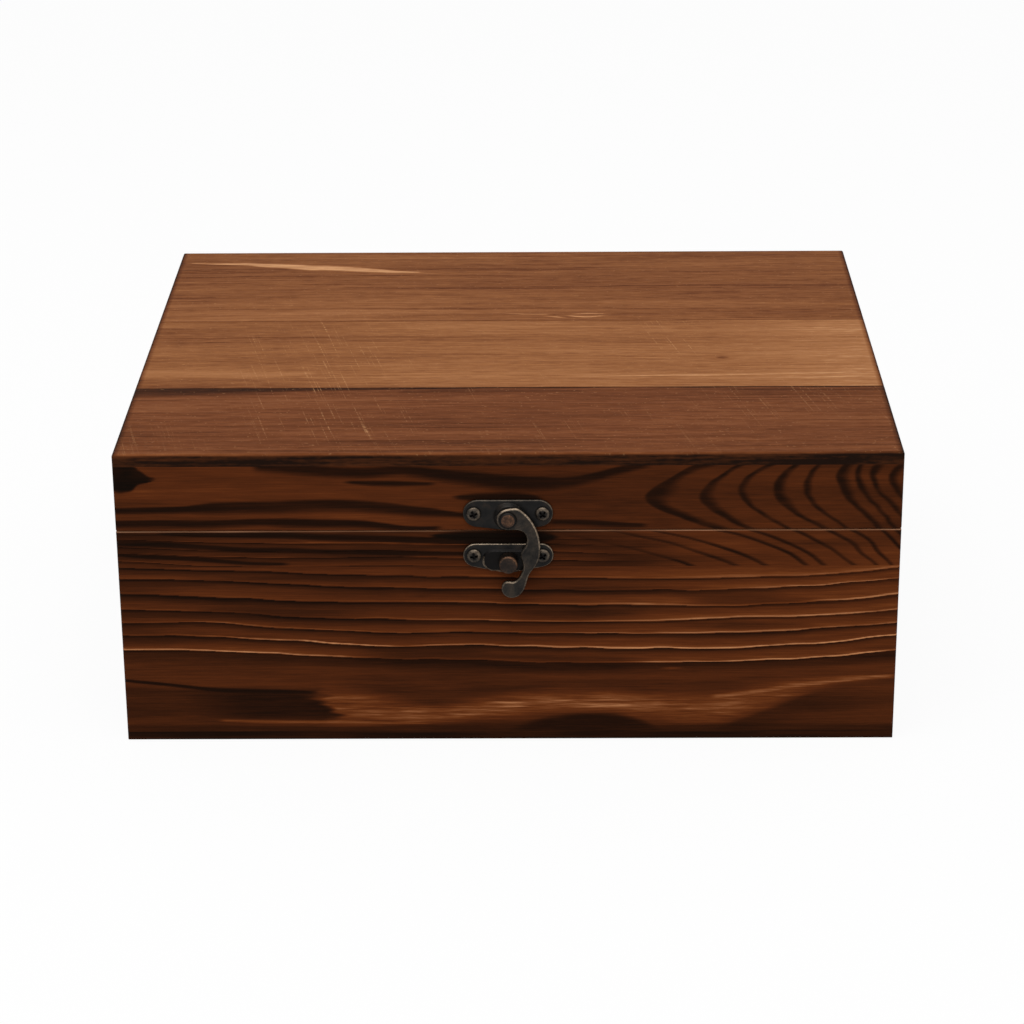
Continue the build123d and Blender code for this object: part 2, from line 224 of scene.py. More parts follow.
# Flame figure below the ridges: points across, up and half as thick, or across and up along a top edge
DARK_TONGUE = ((-0.02, 0.20, 0.13), (0.06, 0.18, 0.107), (0.12, 0.161, 0.091), (0.2, 0.16, 0.088),
               (0.25, 0.155, 0.083), (0.275, 0.14, 0.055))
TONGUE_EDGE = ((-0.02, 0.325, 0.008), (0.06, 0.288, 0.009), (0.12, 0.254, 0.011), (0.2, 0.246, 0.012),
               (0.25, 0.236, 0.010))
TONGUE_LEAN = 0.24
PALE_DASH = ((0.695, 0.384, 0.003), (0.71, 0.382, 0.005), (0.726, 0.383, 0.003))
TONGUE_LINE = ((0.12, 0.068, 0.007), (0.17, 0.061, 0.009), (0.27, 0.055, 0.009), (0.34, 0.05, 0.006),
               (0.4, 0.046, 0.003))
GOLD_BAND = ((0.255, 0.16, 0.10), (0.30, 0.14, 0.095), (0.36, 0.10, 0.07), (0.40, 0.085, 0.05),
             (0.46, 0.13, 0.055), (0.52, 0.165, 0.062), (0.58, 0.185, 0.065), (0.63, 0.17, 0.065),
             (0.68, 0.145, 0.07), (0.73, 0.105, 0.075), (0.77, 0.12, 0.07), (0.82, 0.19, 0.06),
             (0.87, 0.26, 0.04), (0.92, 0.30, 0.022), (1.0, 0.335, 0.012))
GOLD_EDGE = ((0.76, 0.205, 0.012), (0.82, 0.235, 0.012), (0.87, 0.275, 0.012), (0.93, 0.305, 0.01),
             (1.0, 0.335, 0.008))
HUMP_TOP = ((0.49, 0.0), (0.53, 0.06), (0.57, 0.095), (0.61, 0.112), (0.66, 0.085), (0.69, 0.02),
            (0.71, -0.02))
SHADE_TOP = ((0.74, -0.05), (0.78, 0.03), (0.82, 0.10), (0.87, 0.19), (0.91, 0.255), (1.0, 0.30))
EDGE_BLUR = 0.02
FLAME_TONE = 0.48
GOLD_TONE = 0.69
GOLD_EDGE_TONE = 0.8
PALE_LINE_TONE = 0.72
TONGUE_TONE = 0.16
TONGUE_EDGE_TONE = 0.08
HUMP_TONE = 0.14
SHADE_TONE = 0.33
FOOT_TONE = 0.2


def flame_figure(u, v, level):
    """The flame below the last ridge: its tone, and where it is golden."""
    streaks = drift(u * 22, v * 80, 15)
    threads = smooth(0.25, 0.85, drift(u * 16, v * 85, 19))
    under_crest = smooth(0.34, 0.41, level) * (0.65 + layers(u, 0 * v, (0.35, 5, 1, 9)))
    flame = FLAME_TONE - 0.26 * under_crest + layers(u, v, (0.07, 7, 24, 16)) + 0.03 * streaks
    flame = flame - 0.07 * window(0.2, 0.35, 0.6, 0.75, u)
    ragged = u + layers(v, v, (0.014, 60, 7, 17))
    gold = band(ragged, v + layers(u, v, (0.012, 14, 10, 18)), GOLD_BAND, 0.8)
    flame = toward(flame, GOLD_TONE + 0.08 * streaks + 0.13 * threads, 0.92 * gold)
    flame = strokes(flame, u, v, GOLD_EDGE_TONE, 0.75, 0.5, GOLD_EDGE)
    tongue = band(ragged + TONGUE_LEAN * (v - 0.1), v, DARK_TONGUE, 0.4)
    flame = toward(flame, TONGUE_TONE + 0.04 * streaks, tongue * (0.5 + 0.45 * smooth(0.07, 0.16, u)))
    flame = strokes(flame, u, v, TONGUE_EDGE_TONE, 0.9, 0.5, TONGUE_EDGE)
    hump = smooth(EDGE_BLUR, -EDGE_BLUR, v - path(u, HUMP_TOP)) * window(0.49, 0.53, 0.68, 0.71, u)
    flame = toward(flame, HUMP_TONE, 0.9 * hump)
    shade = smooth(EDGE_BLUR, -EDGE_BLUR, v - path(u, SHADE_TOP)) * smooth(0.74, 0.78, u)
    shade_tone = SHADE_TONE + layers(u, v, (0.1, 10, 30, 10)) + 0.1 * smooth(0.85, 1.0, u)
    flame = toward(flame, shade_tone, 0.85 * shade)
    flame = strokes(flame, u, v, PALE_LINE_TONE, 0.8, 0.5, TONGUE_LINE, PALE_DASH)
    return toward(flame, FOOT_TONE, 0.6 * smooth(0.05, 0.02, v)), gold


def lower_front_figure(u, v):
    """The lower front board: sagging brushed ridges over a flame figure, by shares of its face."""
    level = v - path(u, RIDGE_SAG) - layers(u, v, (0.012, 9, 9, 11), (0.004, 30, 20, 12))
    ring, fall = rings_at(level, RIDGES)
    pale = toward(by_ring(ring, RIDGE_PALE_LEFT), by_ring(ring, RIDGE_PALE), smooth(0.25, 0.5, u))
    lively = path(u + 0.08 * drift(u * 7, np.round(ring) * 5.3, 13), CREST_LIGHT)
    # The ridge tones paint shadow in the grooves and highlights on the crests
    tone = lookup(fall, RIDGE_TONES) + CREST_STRENGTH * pale * lively * window(*CREST, fall)
    tone = tone + layers(u, level, (0.05, 5, 55, 20)) + 0.10 * smooth(0.5, 0.75, u)
    tone = tone + 0.03 * smooth(0.35, 0.2, u) * smooth(0.75, 0.55, level)
    tone = tone - 0.07 * smooth(0.45, 0.25, u) * smooth(0.55, 0.7, level)
    soot = smooth(0.0, 0.7, drift(u * 5, v * 14, 14) - 0.3 * u + 0.05)
    tone = toward(tone, SOOT_TONE, 0.45 * soot)
    flame, gold = flame_figure(u, v, level)
    below = smooth(*LAST_RIDGE, level)
    return {
        "tone": tone * (1 - below) + flame * below,
        "height": lookup(fall, RIDGE_HEIGHTS) * (1 - below) + (0.5 + 0.2 * flame) * below,
        "scuff": gold * below,
    }


# Dark streaks on the lid's front rail: across, up and half-thickness shares
RAIL_STREAKS = (
    ((-0.02, 0.32, 0.03), (0.09, 0.343, 0.04), (0.122, 0.395, 0.06), (0.19, 0.386, 0.065),
     (0.286, 0.41, 0.065), (0.35, 0.371, 0.06), (0.4, 0.30, 0.05), (0.44, 0.224, 0.03), (0.5, 0.2, 0.03)),
    ((-0.02, 0.124, 0.04), (0.09, 0.11, 0.045), (0.19, 0.138, 0.04), (0.22, 0.124, 0.05), (0.32, 0.1, 0.045),
     (0.37, 0.052, 0.03), (0.42, 0.03, 0.02)),
    ((0.18, 1.05, 0.06), (0.27, 0.943, 0.06), (0.32, 0.924, 0.06), (0.37, 0.95, 0.05), (0.416, 0.881, 0.065),
     (0.466, 0.814, 0.08), (0.504, 0.752, 0.085), (0.57, 0.762, 0.06), (0.602, 0.814, 0.05),
     (0.635, 0.93, 0.045), (0.68, 1.06, 0.04)),
    ((0.29, 0.765, 0.015), (0.33, 0.74, 0.03), (0.36, 0.735, 0.028), (0.41, 0.724, 0.015)),
    ((0.55, 0.133, 0.03), (0.616, 0.114, 0.035), (0.68, 0.05, 0.02)),
)
# A dark band on the rail just above the hasp plate
RAIL_DARK_BAND = ((0.43, 0.51, 0.02), (0.46, 0.5, 0.05), (0.5, 0.51, 0.06), (0.525, 0.5, 0.05),
              (0.545, 0.49, 0.02))
CHAR_PATCH = ((-0.02, 0.82, 0.19), (0.02, 0.82, 0.185), (0.03, 0.81, 0.15), (0.042, 0.815, 0.08),
              (0.055, 0.82, 0.02))
STREAK_TRAIL = 0.55
RAIL_STREAK_TONE = 0.08
RAIL_DARK_BAND_TONE = 0.03

# Cathedral arches: the place and height of each point, how its upper and lower arms open, and its thickness
ARCHES = (
    (0.674, 0.52, 0.25, 0.30, 0.026),
    (0.741, 0.53, 0.19, 0.19, 0.015),
    (0.790, 0.63, 0.20, 0.16, 0.011),
    (0.834, 0.64, 0.14, 0.16, 0.015),
    (0.872, 0.70, 0.13, 0.125, 0.009),
    (0.915, 0.77, 0.12, 0.11, 0.013),
    (0.938, 0.79, 0.11, 0.105, 0.009),
    (0.958, 0.81, 0.10, 0.10, 0.009),
    (0.981, 0.79, 0.10, 0.10, 0.010),
    (1.004, 0.79, 0.10, 0.10, 0.010),
)
ARCH_ROUND = 0.3
ARCH_CRISP = 0.0025
ARCH_POINT = 0.22
ARCH_TONE = 0.07
ARCH_FIELD_HEIGHT = 0.75
ARCH_GROOVE = 0.35


def arch_line(off, thick):
    """How dark a ring is at an offset across it: a crisp outer edge that fades inwards."""
    return window(-ARCH_CRISP, ARCH_CRISP, 0.3 * thick, thick, off)


def arches(u, v):
    """How dark the cathedral arches are, each thickest at its point."""
    dark = 0 * u
    for place, height, upper, lower, thick in ARCHES:
        rise = v - height
        arm = np.where(rise > 0, upper, lower) * (np.hypot(rise, ARCH_ROUND) - ARCH_ROUND)
        heavy = thick * (1 + 0.5 * np.exp(-(rise / ARCH_POINT) ** 2))
        heavy = heavy * (1 + 0.3 * drift(v * 5, 0 * v + place * 90, 26))
        dark = np.maximum(dark, arch_line(u - place - arm, heavy))
    return dark


def rail_figure(u, v):
    """The lid's front rail: a broad plain field with dark streaks, and cathedral arches at the right."""
    u = u + layers(u, v, (0.004, 22, 3, 21), (0.0015, 60, 11, 27))
    v = v + layers(u, v, (0.02, 16, 2, 22))
    tone = GROUND - 0.02 + layers(u, v, (0.07, 6, 5, 23), (0.03, 30, 16, 24))
    tone = tone - 0.10 * window(0.35, 0.55, 0.55, 0.75, u) - 0.05 * smooth(0.6, 0.75, u)
    streak_tone = RAIL_STREAK_TONE + layers(u, v, (0.04, 12, 9, 28))
    for points in RAIL_STREAKS:
        tone = toward(tone, streak_tone, 0.92 * band(u, v, points, 0.45, STREAK_TRAIL))
    frayed = v + layers(u, v, (0.05, 90, 6, 29))
    tone = toward(tone, CHAR + layers(u, v, (0.05, 60, 9, 30)), band(u, frayed, CHAR_PATCH, 0.2))
    dark = arches(u, v) * (0.8 + layers(u, v, (0.2, 40, 12, 25)))
    tone = toward(tone, ARCH_TONE, 0.94 * dark)
    tone = strokes(tone, u, v, RAIL_DARK_BAND_TONE, 0.9, 0.7, RAIL_DARK_BAND)
    return {"tone": tone, "height": ARCH_FIELD_HEIGHT - ARCH_GROOVE * dark}


# The strip below the saw cut, sawn from the same board: its ridges, the arches' arms, streaks, and charred
# wood darkened by painted shadow under the hasp
STRIP_RIDGES = (1.06, 0.80, 0.62, 0.40, 0.22, -0.02, -0.2)
STRIP_PALE = (0.0, 0.12, 0.6, 0.2, 0.35, 0.2, 0.0)
STRIP_SAG = ((0.0, 0.15), (0.12, 0.10), (0.3, 0.02), (0.45, 0.0), (0.6, -0.05), (1.0, -0.1))
STRIP_ARMS = (0.53, 0.62, 0.68, 0.764, 0.80, 0.854, 0.899, 0.93, 0.973, 0.995)
STRIP_ARM_LEAN = 0.29
STRIP_ARM_THICK = 0.032
STRIP_ARM_END = 1.3
STRIP_STREAKS = (
    ((0.05, 0.94, 0.02), (0.09, 0.92, 0.06), (0.2, 0.885, 0.08), (0.285, 0.836, 0.10), (0.367, 0.765, 0.10),
     (0.445, 0.69, 0.07), (0.53, 0.62, 0.05)),
    ((-0.02, 0.66, 0.04), (0.02, 0.64, 0.05), (0.06, 0.63, 0.07), (0.11, 0.55, 0.06), (0.18, 0.495, 0.06),
     (0.25, 0.438, 0.06), (0.35, 0.39, 0.07), (0.45, 0.35, 0.06), (0.55, 0.3, 0.03)),
    ((-0.02, 0.40, 0.03), (0.02, 0.29, 0.04), (0.08, 0.24, 0.05), (0.15, 0.14, 0.05), (0.22, 0.06, 0.04)),
)
STRIP_HASP_SHADOW = ((0.4, 0.86, 0.03), (0.45, 0.83, 0.15), (0.5, 0.8, 0.18), (0.54, 0.8, 0.15),
               (0.565, 0.82, 0.03))
STRIP_PALE_STREAK = ((0.235, 0.705, 0.012), (0.3, 0.675, 0.018), (0.38, 0.635, 0.02), (0.45, 0.6, 0.012))
STRIP_DULL_TONE = 0.24
STRIP_SOOT_TONE = 0.12
STRIP_STREAK_TONE = 0.05
STRIP_HASP_SHADOW_TONE = -0.05
STRIP_PALE_TONE = 0.68


def strip_figure(u, v):
    """The base's upper front board: dark ridges at the left, and the arches' lower arms at the right."""
    level = v - path(u, STRIP_SAG) - layers(u, v, (0.05, 9, 2, 31))
    ring, fall = rings_at(level, STRIP_RIDGES)
    lively = 0.5 + 0.5 * drift(u * 8, np.round(ring) * 4.1, 32)
    # The ridge tones paint shadow in the grooves and highlights on the crests
    left = toward(lookup(fall, RIDGE_TONES), STRIP_DULL_TONE, 0.4)
    left = left + 0.5 * by_ring(ring, STRIP_PALE) * lively * window(*CREST, fall)
    left = toward(left, STRIP_SOOT_TONE, 0.5 * smooth(0.1, 0.8, drift(u * 6, v * 3.5, 33)))
    waver = v + layers(u, v, (0.02, 18, 2, 36))
    left = strokes(left, u, waver, STRIP_STREAK_TONE, 0.9, 0.5, *STRIP_STREAKS)
    # Painted shadow of the hasp over charred wood, darker than the char itself
    left = strokes(left, u, waver, STRIP_HASP_SHADOW_TONE, 0.95, 0.6, STRIP_HASP_SHADOW)
    left = strokes(left, u, waver, STRIP_PALE_TONE, 0.8, 0.5, STRIP_PALE_STREAK)
    slant = u - STRIP_ARM_LEAN * (1 - v) * smooth(1.2, 0.45, u) + layers(u, v, (0.006, 20, 3, 34))
    dark = 0 * u
    for place in STRIP_ARMS:
        dark = np.maximum(dark, arch_line(slant - place, STRIP_ARM_THICK * (STRIP_ARM_END - place)))
    dark = dark * (0.75 + layers(u, v, (0.35, 14, 2.5, 37)))
    ground = GROUND - 0.03 + layers(u, v, (0.10, 9, 5, 35)) - 0.12 * smooth(0.76, 0.6, u)
    right = toward(ground, ARCH_TONE, 0.9 * dark)
    share = smooth(0.53, 0.68, u - 0.06 * (1 - v))
    height = lookup(fall, RIDGE_HEIGHTS) * (1 - share) + (ARCH_FIELD_HEIGHT - ARCH_GROOVE * dark) * share
    return {"tone": left * (1 - share) + right * share, "height": height}


def plain_tone(along, across, seed):
    """Quiet straight grain for the faces inside the box."""
    return 0.5 + patches(along, across, (0.13, 0.12, 0.0035, seed), (0.12, 0.2, 0.012, seed + 1))


# Top boards: a fine straight grain, with what the burner and the brush left on each
TOP_TONE = 0.53
TOP_FLECKS = 0.3
SAP_STREAK = ((0.01, 0.835, 0.004), (0.06, 0.828, 0.010), (0.11, 0.812, 0.020), (0.16, 0.79, 0.032),
              (0.205, 0.765, 0.038), (0.25, 0.74, 0.034), (0.30, 0.715, 0.024), (0.34, 0.698, 0.012),
              (0.37, 0.687, 0.003))
CURLS = (
    ((0.545, 0.075, 0.004), (0.565, 0.045, 0.006), (0.58, 0.035, 0.005)),
    ((0.575, 0.085, 0.004), (0.595, 0.045, 0.007), (0.612, 0.038, 0.007), (0.635, 0.078, 0.005)),
    ((0.49, 0.10, 0.002), (0.53, 0.085, 0.004), (0.56, 0.09, 0.003)),
    ((0.583, 0.08, 0.003), (0.602, 0.103, 0.005), (0.618, 0.105, 0.005), (0.64, 0.08, 0.003)),
)
PALE_LINE = ((0.56, 0.145, 0.004), (0.66, 0.155, 0.008), (0.8, 0.165, 0.008), (0.95, 0.185, 0.006))
PALE_CORNER = ((-0.02, 0.22, 0.07), (0.06, 0.2, 0.07), (0.14, 0.2, 0.05), (0.24, 0.2, 0.02))
SEAM_GAP = ((-0.02, 0.94, 0.085), (0.05, 0.945, 0.08), (0.1, 0.96, 0.062), (0.16, 0.972, 0.045),
            (0.28, 0.982, 0.03), (0.4, 0.992, 0.018), (0.6, 0.996, 0.012), (1.02, 0.996, 0.012))
FRONT_STREAKS = (
    ((-0.02, 0.92, 0.03), (0.1, 0.9, 0.03), (0.2, 0.9, 0.01)),
    ((0.35, 0.93, 0.02), (0.45, 0.935, 0.03), (0.6, 0.93, 0.01)),
)
SAP_TONE = 0.9
CURL_TONE = 0.95
BACK_SEAM_TONE = 0.22
BACK_EDGE_TONE = 0.1
TOP_LINE_TONE = 0.85
TOP_CORNER_TONE = 0.75
SEAM_GAP_TONE = 0.05
FRONT_STREAK_TONE = 0.2

# The pin knot and the darker wood round it: place, then reach across and up, core, tone and strength of each
KNOT_PLACE = (0.79, 0.42)
KNOT_RINGS = ((0.008, 0.02, 0.5, 0.16, 1.0), (0.02, 0.05, 0.6, 0.4, 0.4))
KNOT_BLUR = 1.2


def top_grain(u, v, width, seed, line_strength=0.16):
    """Fine straight growth rings seen on a planed face."""
    across = v * width / MM + layers(u, v, (1.2, 4, 3, seed), (0.4, 11, 9, seed + 1))
    lines = patches(u, across, (0.6, 1 / 3, 0.8, seed + 2), (0.4, 1 / 5, 2.0, seed + 3))
    broad = drift(u * 2.5, across / 9, seed + 4)
    dark = smooth(0.35, 0.8, drift(u * 2.2, across / 1.1, seed + 6))
    fine = drift(u * 50, across / 0.7, seed + 5)
    return TOP_TONE + 0.11 * lines + 0.08 * broad + 0.07 * fine - line_strength * dark


def back_top_figure(u, v, width):
    """The back board of the top, with a pale streak of sapwood and small curled marks."""
    tone = top_grain(u, v, width, 41, 0.1) - 0.075 + 0.14 * smooth(0.45, 0.15, v) * smooth(0.5, 0.2, u)
    sap = band(u, v + layers(u, v, (0.008, 40, 1, 42)), SAP_STREAK, 0.4)
    tone = toward(tone, SAP_TONE + layers(u, v, (0.08, 30, 120, 43)), sap)
    tone = strokes(tone, u, v, CURL_TONE, 0.9, 0.5, *CURLS)
    tone = toward(tone, BACK_SEAM_TONE, 0.65 * smooth(0.022, 0.0, v))
    tone = toward(tone, BACK_EDGE_TONE, 0.8 * smooth(0.984, 0.998, v))
    scuff = TOP_FLECKS + 0.25 * smooth(0.2, 0.02, v) * window(0.1, 0.2, 0.35, 0.5, u)
    return {"tone": tone, "scuff": scuff}


def middle_top_figure(u, v, width):
    """The middle board of the top, the lightest, with cross-grain scratches and a pin knot."""
    tone = top_grain(u, v, width, 51, 0.06) - 0.09 + 0.12 * smooth(0.1, 0.6, u) + 0.14 * smooth(0.75, 1.0, u)
    tone = strokes(tone, u, v + layers(u, v, (0.003, 50, 1, 52)), TOP_LINE_TONE, 0.8, 0.5, PALE_LINE)
    tone = strokes(tone, u, v + layers(u, v, (0.02, 12, 6, 53)), TOP_CORNER_TONE, 0.6, 0.8, PALE_CORNER)
    for across, up, full, aim, strength in KNOT_RINGS:
        off = np.hypot((u - KNOT_PLACE[0]) / across, (v - KNOT_PLACE[1]) / up)
        tone = toward(tone, aim, strength * smooth(KNOT_BLUR, full, off))
    left = window(0.12, 0.18, 0.28, 0.36, u)
    right = 0.8 * window(0.66, 0.7, 0.73, 0.78, u) * smooth(0.35, 0.6, v)
    scuff = left + right + 0.25 * smooth(0.2, 0.8, drift(u * 6, v * 3, 54)) + TOP_FLECKS
    return {"tone": tone, "scuff": np.clip(scuff, 0, 1)}


def front_top_figure(u, v, width):
    """The front board of the top, redder and darker, with a charred seam at its back edge."""
    tone = top_grain(u, v, width, 61) - 0.02
    tone = strokes(tone, u, v + layers(u, v, (0.01, 12, 1, 62)), SEAM_GAP_TONE, 0.9, 0.6, SEAM_GAP)
    tone = strokes(tone, u, v, FRONT_STREAK_TONE, 0.6, 0.7, *FRONT_STREAKS)
    left = window(0.12, 0.2, 0.3, 0.42, u) * smooth(0.0, 0.3, v)
    scuff = 0.7 * left + 0.35 * smooth(0.0, 0.7, drift(u * 9, v * 3, 63)) + TOP_FLECKS
    return {"tone": tone, "scuff": np.clip(scuff, 0, 1)}


# Boards as closed meshes

OUTER_LIMITS = (HALF_WIDTH, HALF_DEPTH, BOX_HEIGHT)
PAINTED = ("tone", "bare", "scuff")


def spread(start, end, step):
    """Evenly spaced places from start up to, but not including, end."""
    count = max(1, round(abs(end - start) / step))
    return start + (end - start) * np.arange(count) / count


def corner(x, y, radius, start_degrees):
    """Points round an outline's corner, anticlockwise over a quarter turn about its inner centre."""
    turns = np.radians(start_degrees + np.linspace(0, 90, ROUND_STEPS))
    return [(x + radius * math.cos(turn), y + radius * math.sin(turn)) for turn in turns]


def side_line(a, b, step):
    """Points along one side of an outline, without its end."""
    shares = spread(0, 1, step / max(math.dist(a, b), step))
    return [(a[0] + (b[0] - a[0]) * share, a[1] + (b[1] - a[1]) * share) for share in shares]


def labelled(*runs):
    """Joins runs of outline points, and marks the points whose next side is part of the show face."""
    points = [point for _, run in runs for point in run]
    shown = [show for show, run in runs for _ in run]
    return np.array(points), np.array(shown)


def long_outline(step):
    """The plan of a front board, rabbeted at both ends, anticlockwise from its left front corner."""
    left, right = -HALF_WIDTH, HALF_WIDTH
    r = CORNER_ROUND
    front, lip, inner = -HALF_DEPTH, -LIP_Y, -INNER_Y
    return labelled(
        (True, corner(left + r, front + r, r, 180)),
        (True, side_line((left + r + step, front), (right - r, front), step)),
        (True, corner(right - r, front + r, r, 270)[:-1]),
        (False, [(right, front + r), (right, lip), (INNER_X, lip)]),
        (False, side_line((INNER_X, inner), (-INNER_X, inner), PLAIN_STEP)),
        (False, [(-INNER_X, inner), (-INNER_X, lip), (left, lip)]),
    )


def side_outline():
    """The plan of the right-hand board, anticlockwise from its inner front corner."""
    return labelled(
        (False, [(INNER_X, -LIP_Y)]),
        (True, side_line((HALF_WIDTH, -LIP_Y), (HALF_WIDTH, LIP_Y), SHOW_STEP)),
        (False, [(HALF_WIDTH, LIP_Y)]),
        (False, side_line((INNER_X, LIP_Y), (INNER_X, -LIP_Y), PLAIN_STEP)),
    )


def top_outline(front, back, low, high):
    """The section of a top board across Y and Z, anticlockwise from its lower front corner."""
    outer_front, outer_back = front < -HALF_DEPTH + MM, back > HALF_DEPTH - MM
    front_round = TOP_ROUND if outer_front else SEAM_BEVEL
    back_round = TOP_ROUND if outer_back else SEAM_BEVEL
    runs = [
        (False, side_line((front, low), (back, low), PLAIN_STEP)),
        (False, side_line((back, low), (back, high - back_round), PLAIN_STEP)),
        (True, corner(back - back_round, high - back_round, back_round, 0)),
        (True, side_line((back - back_round - TOP_STEP, high), (front + front_round, high), TOP_STEP)),
        (True, corner(front + front_round, high - front_round, front_round, 90)),
    ]
    if outer_front:
        runs.append((True, side_line((front, high - front_round - LEVEL_STEP), (front, low), LEVEL_STEP)))
    return labelled(*runs)


def bottom_outline(high):
    """The section of the bottom panel across Y and Z, anticlockwise from its lower front corner."""
    r = BOTTOM_ROUND
    return labelled(
        (False, side_line((-HALF_DEPTH + r, 0), (HALF_DEPTH - r, 0), PLAIN_STEP)),
        (True, corner(HALF_DEPTH - r, r, r, 270)),
        (True, side_line((HALF_DEPTH, r + LEVEL_STEP), (HALF_DEPTH, high), LEVEL_STEP)),
        (False, side_line((HALF_DEPTH, high), (-HALF_DEPTH, high), SHOW_STEP)),
        (True, side_line((-HALF_DEPTH, high), (-HALF_DEPTH, r + LEVEL_STEP), LEVEL_STEP)),
        (True, corner(-HALF_DEPTH + r, r, r, 180)),
    )


def stack(outline, levels, axis):
    """An outline repeated at levels along an axis, each a place and an inset from the box's outside."""
    rings = np.zeros((len(levels), len(outline), 3))
    others = [other for other in range(3) if other != axis]
    for ring, (place, inset) in zip(rings, levels):
        ring[:, others] = outline
        ring[:, axis] = place
        for other in others:
            limit = OUTER_LIMITS[other] - inset
            ring[:, other] = np.clip(ring[:, other], 0 if other == 2 else -limit, limit)
    return rings


def board_levels(low, high, step, low_ease=0.0, high_ease=0.0):
    """Places along a board and their insets, with its ends drawn in over a rounded or bevelled edge."""
    turns = np.linspace(0, QUARTER, ROUND_STEPS)[:-1]
    eases = [(1 - math.cos(turn), 1 - math.sin(turn)) for turn in turns]
    start = [(low + low_ease * out, low_ease * inset) for out, inset in eases if low_ease]
    middle = [(place, 0.0) for place in spread(low + low_ease, high - high_ease, step)]
    end = [(high - high_ease * out, high_ease * inset) for out, inset in eases[::-1] if high_ease]
    return start + middle + [(high - high_ease, 0.0)] + end


def closed_mesh(name, rings, shown, show_values, plain_values):
    """A closed mesh through rings of vertices, with values kept apart at the corners of the show face."""
    levels, count = rings.shape[:2]
    index = np.arange(levels * count).reshape(levels, count)
    after = np.roll(index, -1, axis=1)
    quads = np.stack([index[:-1], after[:-1], after[1:], index[1:]], axis=2).reshape(-1, 4)
    caps = [index[0][::-1].tolist(), index[-1].tolist()]
    mesh = bpy.data.meshes.new(name)
    mesh.from_pydata(rings.reshape(-1, 3).tolist(), [], quads.tolist() + caps)
    on_show = np.broadcast_to(shown, (levels - 1, count)).reshape(-1, 1)
    for key in PAINTED:
        plain = plain_values.get(key, 0 * rings[..., 0]).reshape(-1)
        show = show_values.get(key, plain).reshape(-1)
        corners = np.where(on_show, show[quads], plain[quads]).reshape(-1)
        ends = [plain[cap] for cap in caps]
        attribute = mesh.attributes.new(key, "FLOAT", "CORNER")
        attribute.data.foreach_set("value", np.concatenate([corners, *ends]).astype(np.float32))
    mesh.shade_smooth()
    mesh.set_sharp_from_angle(angle=WOOD_SHARP)
    return mesh


def edge_fade(rings, axis, low, high):
    """Keeps relief off the ends of a board, by the distance from both along an axis."""
    near = np.minimum(rings[..., axis] - low, high - rings[..., axis])
    return smooth(0, RELIEF_FADE, near)


def new_object(name, data):
    """An object in the scene."""
    made = bpy.data.objects.new(name, data)
    bpy.context.scene.collection.objects.link(made)
    return made


def add_piece(name, mesh, material, body, slot, *nodes):
    """Places a mesh that stands for CAD nodes and moves with a body."""
    piece = new_object(name, mesh)
    mesh.materials.append(material)
    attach(piece, body)
    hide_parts(*nodes)


def mirrored(rings, axis):
    """The same board on the other side of the box, with its outline still anticlockwise."""
    turned_round = rings[:, ::-1].copy()
    turned_round[..., axis] = -turned_round[..., axis]
    return turned_round


def flipped(values):
    """Values that follow a mirrored board's vertices."""
    return {key: value[:, ::-1] for key, value in values.items()}


# How pale the sawn rim shows along the seam, and where on the bevel it starts and is full
SEAM_PALE = ((0.0, 0.75), (0.3, 0.7), (0.37, 0.15), (0.52, 0.1), (0.56, 0.6), (0.95, 0.65),
             (0.99, 1.0), (1.0, 1.0))
RIM_START = RIM_BEVEL * 0.6
RIM_FULL = RIM_BEVEL * 0.2
END_GRAIN_TONE = 0.2


def wall(node, body, plan, across_axis, figure, material, turn=False, base_rim=False, lid_rim=False):
    """A wall board of the base or the lid, with brushed relief on its outer face."""
    outline, shown = plan
    low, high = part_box(node)
    levels = board_levels(low.z, high.z, LEVEL_STEP, RIM_BEVEL * lid_rim, RIM_BEVEL * base_rim)
    rings = stack(outline, levels, 2)
    along_axis = 1 - across_axis
    along, up = rings[..., along_axis], rings[..., 2]
    end_grain = END_GRAIN_TONE + patches(rings[..., 1], up, (0.1, 1.1 * MM, 1.4 * MM, 92))
    outer_end = (np.abs(rings[..., 0]) > HALF_WIDTH - MM) & (np.abs(rings[..., 1]) > LIP_Y - MM)
    tone = np.where(outer_end, end_grain, plain_tone(along, up, len(node)))
    gap = high.z - up if base_rim else up - low.z
    rim = smooth(RIM_START, RIM_FULL, gap) * (base_rim or lid_rim)
    plain = {"tone": tone, "bare": rim}
    pale = path(along / (2 * HALF_WIDTH) + 0.5, SEAM_PALE) + patches(along, 0 * up, (0.25, 0.012, 1, 91))
    show = {"bare": rim * np.clip(pale, 0, 1) * base_rim, **figure(along, up, low, high)}
    reach = HALF_WIDTH if along_axis == 0 else LIP_Y
    fade = edge_fade(rings, 2, low.z, high.z) * edge_fade(rings, along_axis, -reach, reach)
    on_face = np.abs(rings[..., across_axis]) > OUTER_LIMITS[across_axis] - TINY
    outward = -1 if across_axis == 1 else 1
    rings[..., across_axis] -= outward * RELIEF * fade * (1 - show["height"]) * on_face * shown
    if turn:
        rings = mirrored(rings, across_axis)
        show, plain = flipped(show), flipped(plain)
        shown = np.roll(shown[::-1], -1)
    mesh = closed_mesh(node, rings, shown, show, plain)
    add_piece(f"{node}_wood", mesh, material, body, "torched_wood", node)


def face_shares(figure):
    """A figure that is drawn by shares of the board's face."""

    def drawn(along, up, low, high):
        return figure((along + HALF_WIDTH) / (2 * HALF_WIDTH), (up - low.z) / (high.z - low.z))

    return drawn


def straight(seed, spacing):
    """A figure of plain ridges that runs on from the base into the lid."""
    return lambda along, up, low, high: straight_figure(along, up, seed, spacing)


# Charring of the top boards' edges: how far in it fades from each end, and down the front edge
END_BURN = (1.6 * MM, 0.5 * MM)
EDGE_BURN = (0.2 * MM, 0.8 * MM)
END_BURN_STRENGTH = 0.85
EDGE_TONE = 0.12
BOTTOM_EDGE_TONE = 0.17


